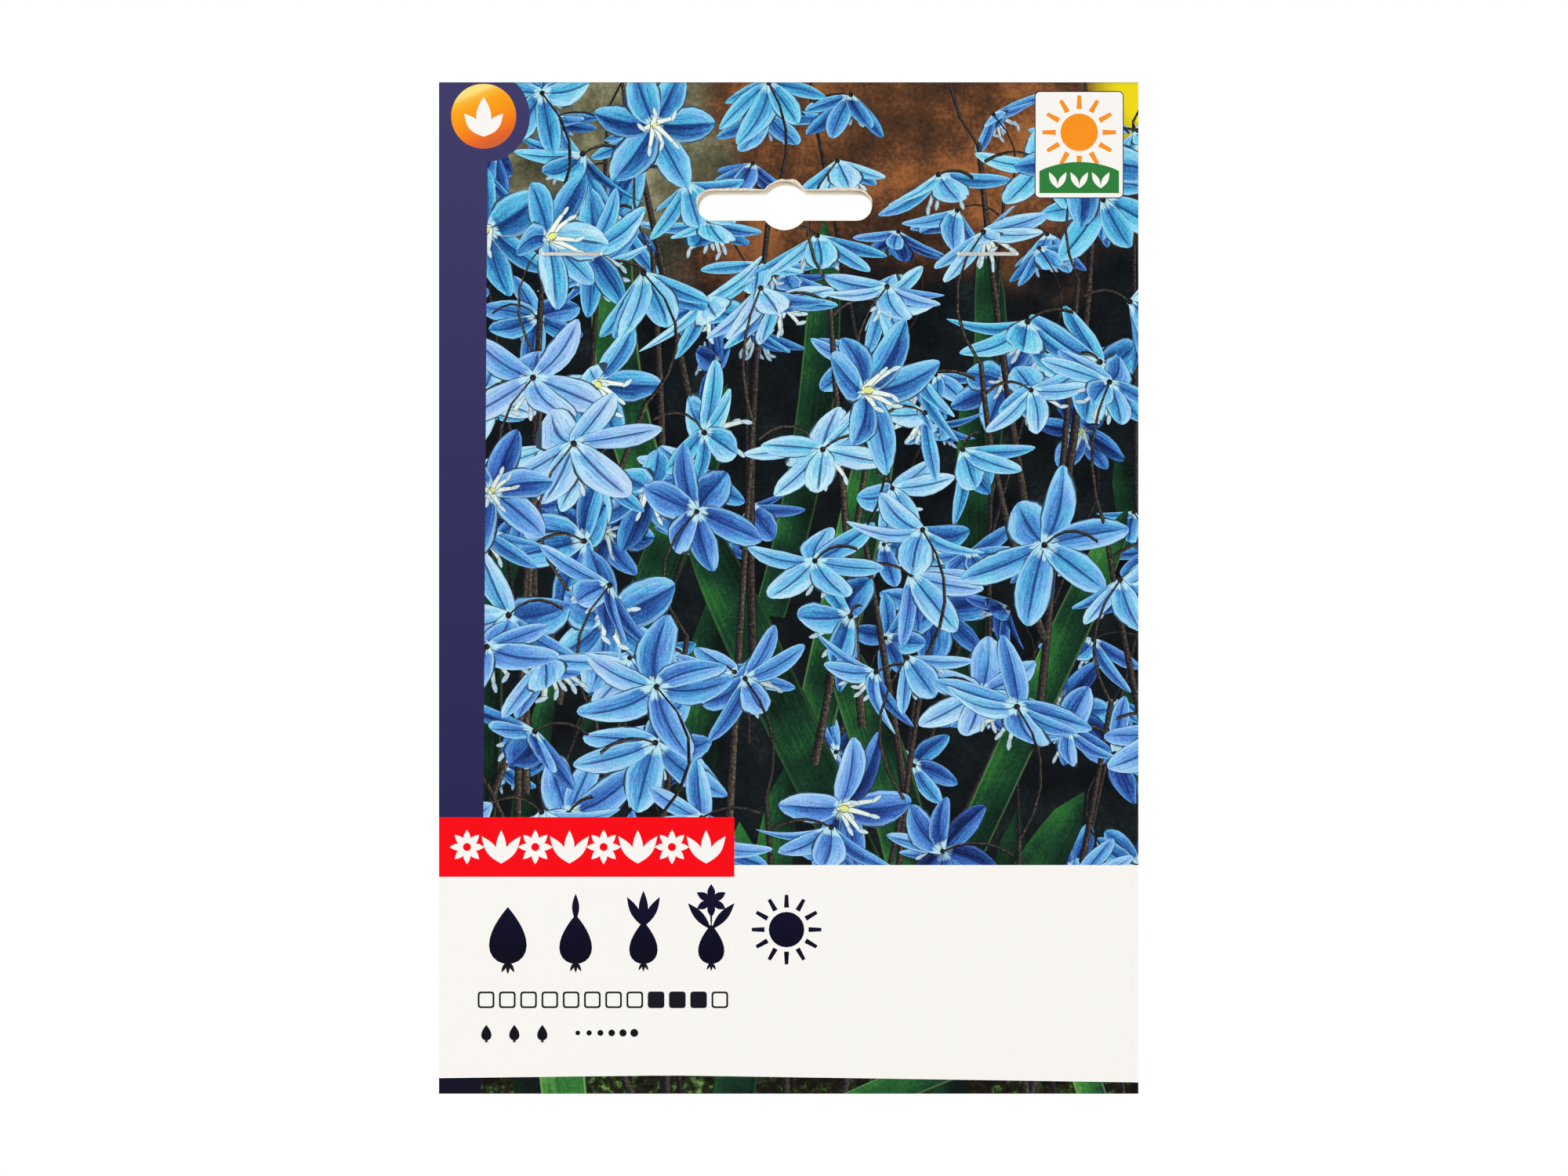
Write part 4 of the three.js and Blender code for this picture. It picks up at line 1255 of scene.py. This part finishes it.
WELD_COLUMNS, FREE_COLUMNS, WELD_ROWS, FREE_ROWS = 17, 84, 25, 112  # of the finished net
STAPLE_LINE = -9
STAPLE_MIDDLES = [-39.5, 37.8]
LEG_HOLE = 0.62
LEG_HOLES = [
    (sum(part / MM for part in (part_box(node)[0][0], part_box(node)[1][0])) / 2 + side, STAPLE_LINE)
    for node in ("staple_left", "staple_right") for side in (-5.6, 5.6)
]
VENT_RADIUS = 2.75
VENTS = [
    (MIDDLE + (column - 1 + (0.25 if row % 2 else -0.25)) * 27, -36 - 25 * row)
    for row in range(5) for column in range(3)
]
HOLES = [(vent, VENT_RADIUS, 28) for vent in VENTS] + [(leg, LEG_HOLE, 10) for leg in LEG_HOLES]
RIM_CLEAR = 0.35  # from a hole's rim to the nearest other point
CREASES = 190
CREASE_HEIGHT = 0.46
CREASE_WIDTHS = 1.0, 2.6
CREASE_LENGTHS = 6, 20
PULLED_ABOVE = -75  # where the creases run to the staples
BAG_SEED = 5


def smooth(start, end, value):
    """0 at start and 1 at end, with a smooth rise between them."""
    share = np.clip((value - start) / (end - start), 0, 1)
    return share * share * (3 - 2 * share)


def fullness(z):
    """0 where the bag is pinched in the card, 1 beside the bulbs, and less again at the foot."""
    towards_foot = 1 + (FOOT_SHARE - 1) * smooth(NARROWS_FROM, BAG_BOTTOM, z)
    return smooth(PINCHED_TO, FULL_FROM, z) * towards_foot


def half_width(z):
    """Half the flat bag's width, less what its fullness draws in."""
    return BAG_HALF - PULLED_IN * fullness(z)


def bulb_span(x, z):
    """The nearest and furthest y of the bulbs over points of the card, and infinite where there
    are none. A bulb's axis lies along the card, so its skin is a circle about each of its points."""
    low, high = np.full(x.shape, np.inf), np.full(x.shape, -np.inf)
    for root, axis, length, radius in bulbs:
        along = (x - root[0]) * axis[0] + (z - root[2]) * axis[2]
        across = (x - root[0]) * axis[2] - (z - root[2]) * axis[0]
        reach = radius * np.interp(along / length, *BULB_OUTLINE.T, left=0, right=0)
        half = np.sqrt(np.maximum(reach * reach - across * across, 0))
        over = reach > np.abs(across)
        low = np.where(over, np.minimum(low, root[1] - half), low)
        high = np.where(over, np.maximum(high, root[1] + half), high)
    return low, high


def creases(x, z, random):
    """Soft ridges in all directions, most of them down the bag. Each is a wave across a line that
    fades out along it and away from it."""
    raised = np.zeros(x.shape)
    for _ in range(CREASES):
        at_x = random.uniform(-BAG_HALF, BAG_HALF) + BAG_MIDDLE
        at_z = random.uniform(BAG_BOTTOM, PINCHED_TO)
        pull = -np.arctan2(at_x - random.choice(STAPLE_MIDDLES), STAPLE_LINE - at_z)
        turn = pull + random.normal(0, 0.25) if at_z > PULLED_ABOVE else random.normal(0, 0.8)
        across = (x - at_x) * np.cos(turn) + (z - at_z) * np.sin(turn)
        along = -(x - at_x) * np.sin(turn) + (z - at_z) * np.cos(turn)
        across = across / random.uniform(*CREASE_WIDTHS)
        along = along / random.uniform(*CREASE_LENGTHS)
        ridge = np.exp(-(across**2) - along**2) * np.cos(across * 1.4)
        raised += random.normal(0, CREASE_HEIGHT) * ridge
    return raised


def heights(films, x, z):
    """The films' heights at points, between the four grid points round each."""
    rows, columns = films.shape[1:]
    column = np.clip((x - BAG_MIDDLE) / half_width(z) + 1, 0, 2) / 2 * (columns - 1)
    row = np.clip((z - BAG_BOTTOM) / (BAG_TOP - BAG_BOTTOM), 0, 1) * (rows - 1)
    i, j = np.minimum(column.astype(int), columns - 2), np.minimum(row.astype(int), rows - 2)
    right, up = column - i, row - j
    low, high = (films[:, at, i] * (1 - right) + films[:, at, i + 1] * right for at in (j, j + 1))
    return low * (1 - up) + high * up


def hold(films, span):
    """The films, held off the bulbs' span, off the card and off each other."""
    front, back = films
    back = np.maximum(np.maximum(back, span[1] + FILM_GAP), front + FILMS_APART)
    return np.stack([np.maximum(FRONT_FILM, np.minimum(front, span[0] - FILM_GAP)), back])


def settle(films, columns, rows, rounds):
    """Heights y of the front and back film over an even grid. Each point settles at the mean of
    those beside it, and is held off the bulbs and off the card."""
    share, z = np.meshgrid(np.linspace(-1, 1, columns), np.linspace(BAG_BOTTOM, BAG_TOP, rows))
    x = BAG_MIDDLE + half_width(z) * share
    fixed = half_width(z) * (1 - np.abs(share)) < SIDE_SEAM
    fixed = fixed | (z < BAG_BOTTOM + END_SEAM) | (z > PINCHED_TO)
    spans = np.array([bulb_span(x + across, z + up) for across, up in BULB_ROOM])
    span = spans[:, 0].min(0), spans[:, 1].max(0)
    lift = FRONT_FILM + SEAM_LIFT * fullness(z)
    films = np.stack([lift, lift + BACK_WELD]) if films is None else heights(films, x, z)
    films = np.where(fixed, [lift + FRONT_WELD, lift + BACK_WELD], films)
    for _ in range(rounds):
        mean = films.copy()
        beside = films[:, 1:-1, :-2] + films[:, 1:-1, 2:]
        mean[:, 1:-1, 1:-1] = (films[:, :-2, 1:-1] + films[:, 2:, 1:-1] + beside) / 4
        films = np.where(fixed, films, hold(mean, span))
    return x, z, span, films


films = None
for columns, rows, rounds in GRIDS:
    x, z, span, films = settle(films, columns, rows, rounds)

bag_random = np.random.default_rng(BAG_SEED)
free = smooth(0, 7, half_width(z) - np.abs(x - BAG_MIDDLE) - SIDE_SEAM)
free = free * smooth(0, 9, z - BAG_BOTTOM - END_SEAM) * smooth(0, 16, PINCHED_TO - z)
films = hold(films + free * np.stack([creases(x, z, bag_random) for _ in films]), span)


def film_mesh():
    """Points over the bag's outline, close together in the welds, joined into triangles round the
    vents and the staples' holes."""
    side = np.linspace(0, SIDE_SEAM, WELD_COLUMNS)[:-1]
    middle = np.linspace(SIDE_SEAM, 2 * BAG_HALF - SIDE_SEAM, FREE_COLUMNS)
    columns = np.concatenate([side, middle, 2 * BAG_HALF - side[::-1]])
    foot = np.linspace(BAG_BOTTOM, BAG_BOTTOM + END_SEAM, WELD_ROWS)
    rows = np.concatenate([foot[:-1], np.linspace(BAG_BOTTOM + END_SEAM, BAG_TOP, FREE_ROWS)])
    share, z = np.meshgrid(columns / BAG_HALF - 1, rows)
    net = np.stack([BAG_MIDDLE + half_width(z) * share, z], 2)
    rings = [np.concatenate([net[0, :-1], net[:-1, -1], net[-1, :0:-1], net[:0:-1, 0]])]
    points = net.reshape(-1, 2)
    for middle, radius, steps in HOLES:
        points = points[np.hypot(*(points - middle).T) > radius + RIM_CLEAR]
        rings.append(circle(*middle, radius, steps))
    starts = np.cumsum([0] + [len(ring) for ring in rings])
    edges = [ring_edges(len(ring), start) for ring, start in zip(rings, starts)]
    points, faces = triangulated(np.concatenate([*rings, points]), np.concatenate(edges))
    middles = points[faces].mean(1)
    kept = np.abs(middles[:, 0] - BAG_MIDDLE) < half_width(middles[:, 1])
    for middle, radius, steps in HOLES:
        kept &= np.hypot(*(middles - middle).T) > radius * np.cos(np.pi / steps) * 0.995
    return points, faces[kept]


def film_finish():
    """Clear film: a faint mirror face on, a stronger one where it turns away, with a little haze.
    The welds are milky. What it mirrors is metallic, and what it scatters is not."""
    finish = Finish("clear_film", Base_Color=(240, 244, 246))
    weld = finish.attribute("weld")[0]
    haze = finish.noise(finish.place(), 14.0, 3.0, 0.6)
    scuff = finish.noise(finish.place(), 1.4, 4.0, 0.7)
    away = finish.node("ShaderNodeLayerWeight", {"Blend": 0.35}, "Facing")
    clear = 0.052 + away * away * 0.3 + weld * 0.16 + (haze - 0.5) * 0.06 + (scuff - 0.5) * 0.06
    rough = 0.16 + (scuff - 0.4) * 0.2 + weld * 0.14
    finish.set(Metallic=0.82 - weld * 0.6, Roughness=rough, Alpha=clear)
    return finish.bump(haze * 0.7 + scuff * 0.12, 0.5, 0.35)


points, faces = film_mesh()
x, z = points.T
from_side = half_width(z) - np.abs(x - BAG_MIDDLE)
from_rim = np.minimum(from_side, z - BAG_BOTTOM)
weld = smooth(END_SEAM + WELD_EDGE, END_SEAM - WELD_EDGE, z - BAG_BOTTOM)
weld = np.maximum(weld, smooth(SIDE_SEAM + WELD_EDGE, SIDE_SEAM - WELD_EDGE, from_side))
lines = WELD_LINE * np.cos(2 * np.pi * from_rim) * weld * smooth(0, 2 * WELD_EDGE, from_rim)
layers = [np.stack([x, y + lines, z], 1) for y in heights(films, x, z)]
both = np.concatenate([faces, faces[:, ::-1] + len(points)])
bag = new_piece("film_bag", np.concatenate(layers), both, [film_finish()])
add_attribute(bag, "weld", "POINT", np.tile(weld, 2)[:, None].repeat(3, 1))
wall = bag.modifiers.new("wall", "SOLIDIFY")
wall.thickness = FILM * MM
wall.offset = 0
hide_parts("bag")


# The floor and the surround. A plain pale sheet lies below the packet, clear of it. The surround is
# white to the camera, lights the packet softly, and hardly shows in its gloss.
FLOOR_DROP = 85
FLOOR_HALF = 900
AMBIENT = 0.22
SEEN_BY = {"Is Glossy Ray": 0.05, "Is Camera Ray": 1.0}
SURROUND_WHITE = (255, 255, 255)
floor_points = np.array([[-1, -1, 0], [1, -1, 0], [1, 1, 0], [-1, 1, 0]]) * FLOOR_HALF
floor_points = floor_points + (0, 0, BOTTOM - FLOOR_DROP)
floor_finish = Finish("floor", Base_Color=(238, 238, 236), Roughness=0.9)
floor = new_piece("floor", floor_points, [[0, 1, 2, 3]], [floor_finish])
floor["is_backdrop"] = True

world = bpy.data.worlds.new("surround")
bpy.context.scene.world = world
world.use_nodes = True
surround = Nodes(world.node_tree)
background = surround.tree.nodes["Background"]
surround.put(background.inputs["Color"], SURROUND_WHITE)
surround.put(background.inputs["Strength"], AMBIENT)
shown = Value(surround, background.outputs[0])
for ray, strength in SEEN_BY.items():
    seen = surround.node("ShaderNodeBackground", {"Color": SURROUND_WHITE, "Strength": strength})
    of_ray = surround.node("ShaderNodeLightPath", {}, ray)
    shown = surround.node("ShaderNodeMixShader", {0: of_ray, 1: shown, 2: seen})
surround.put(surround.tree.nodes["World Output"].inputs[0], shown)

size = {"cad": CAD_BOX, "visual": [list(corner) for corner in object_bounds()]}
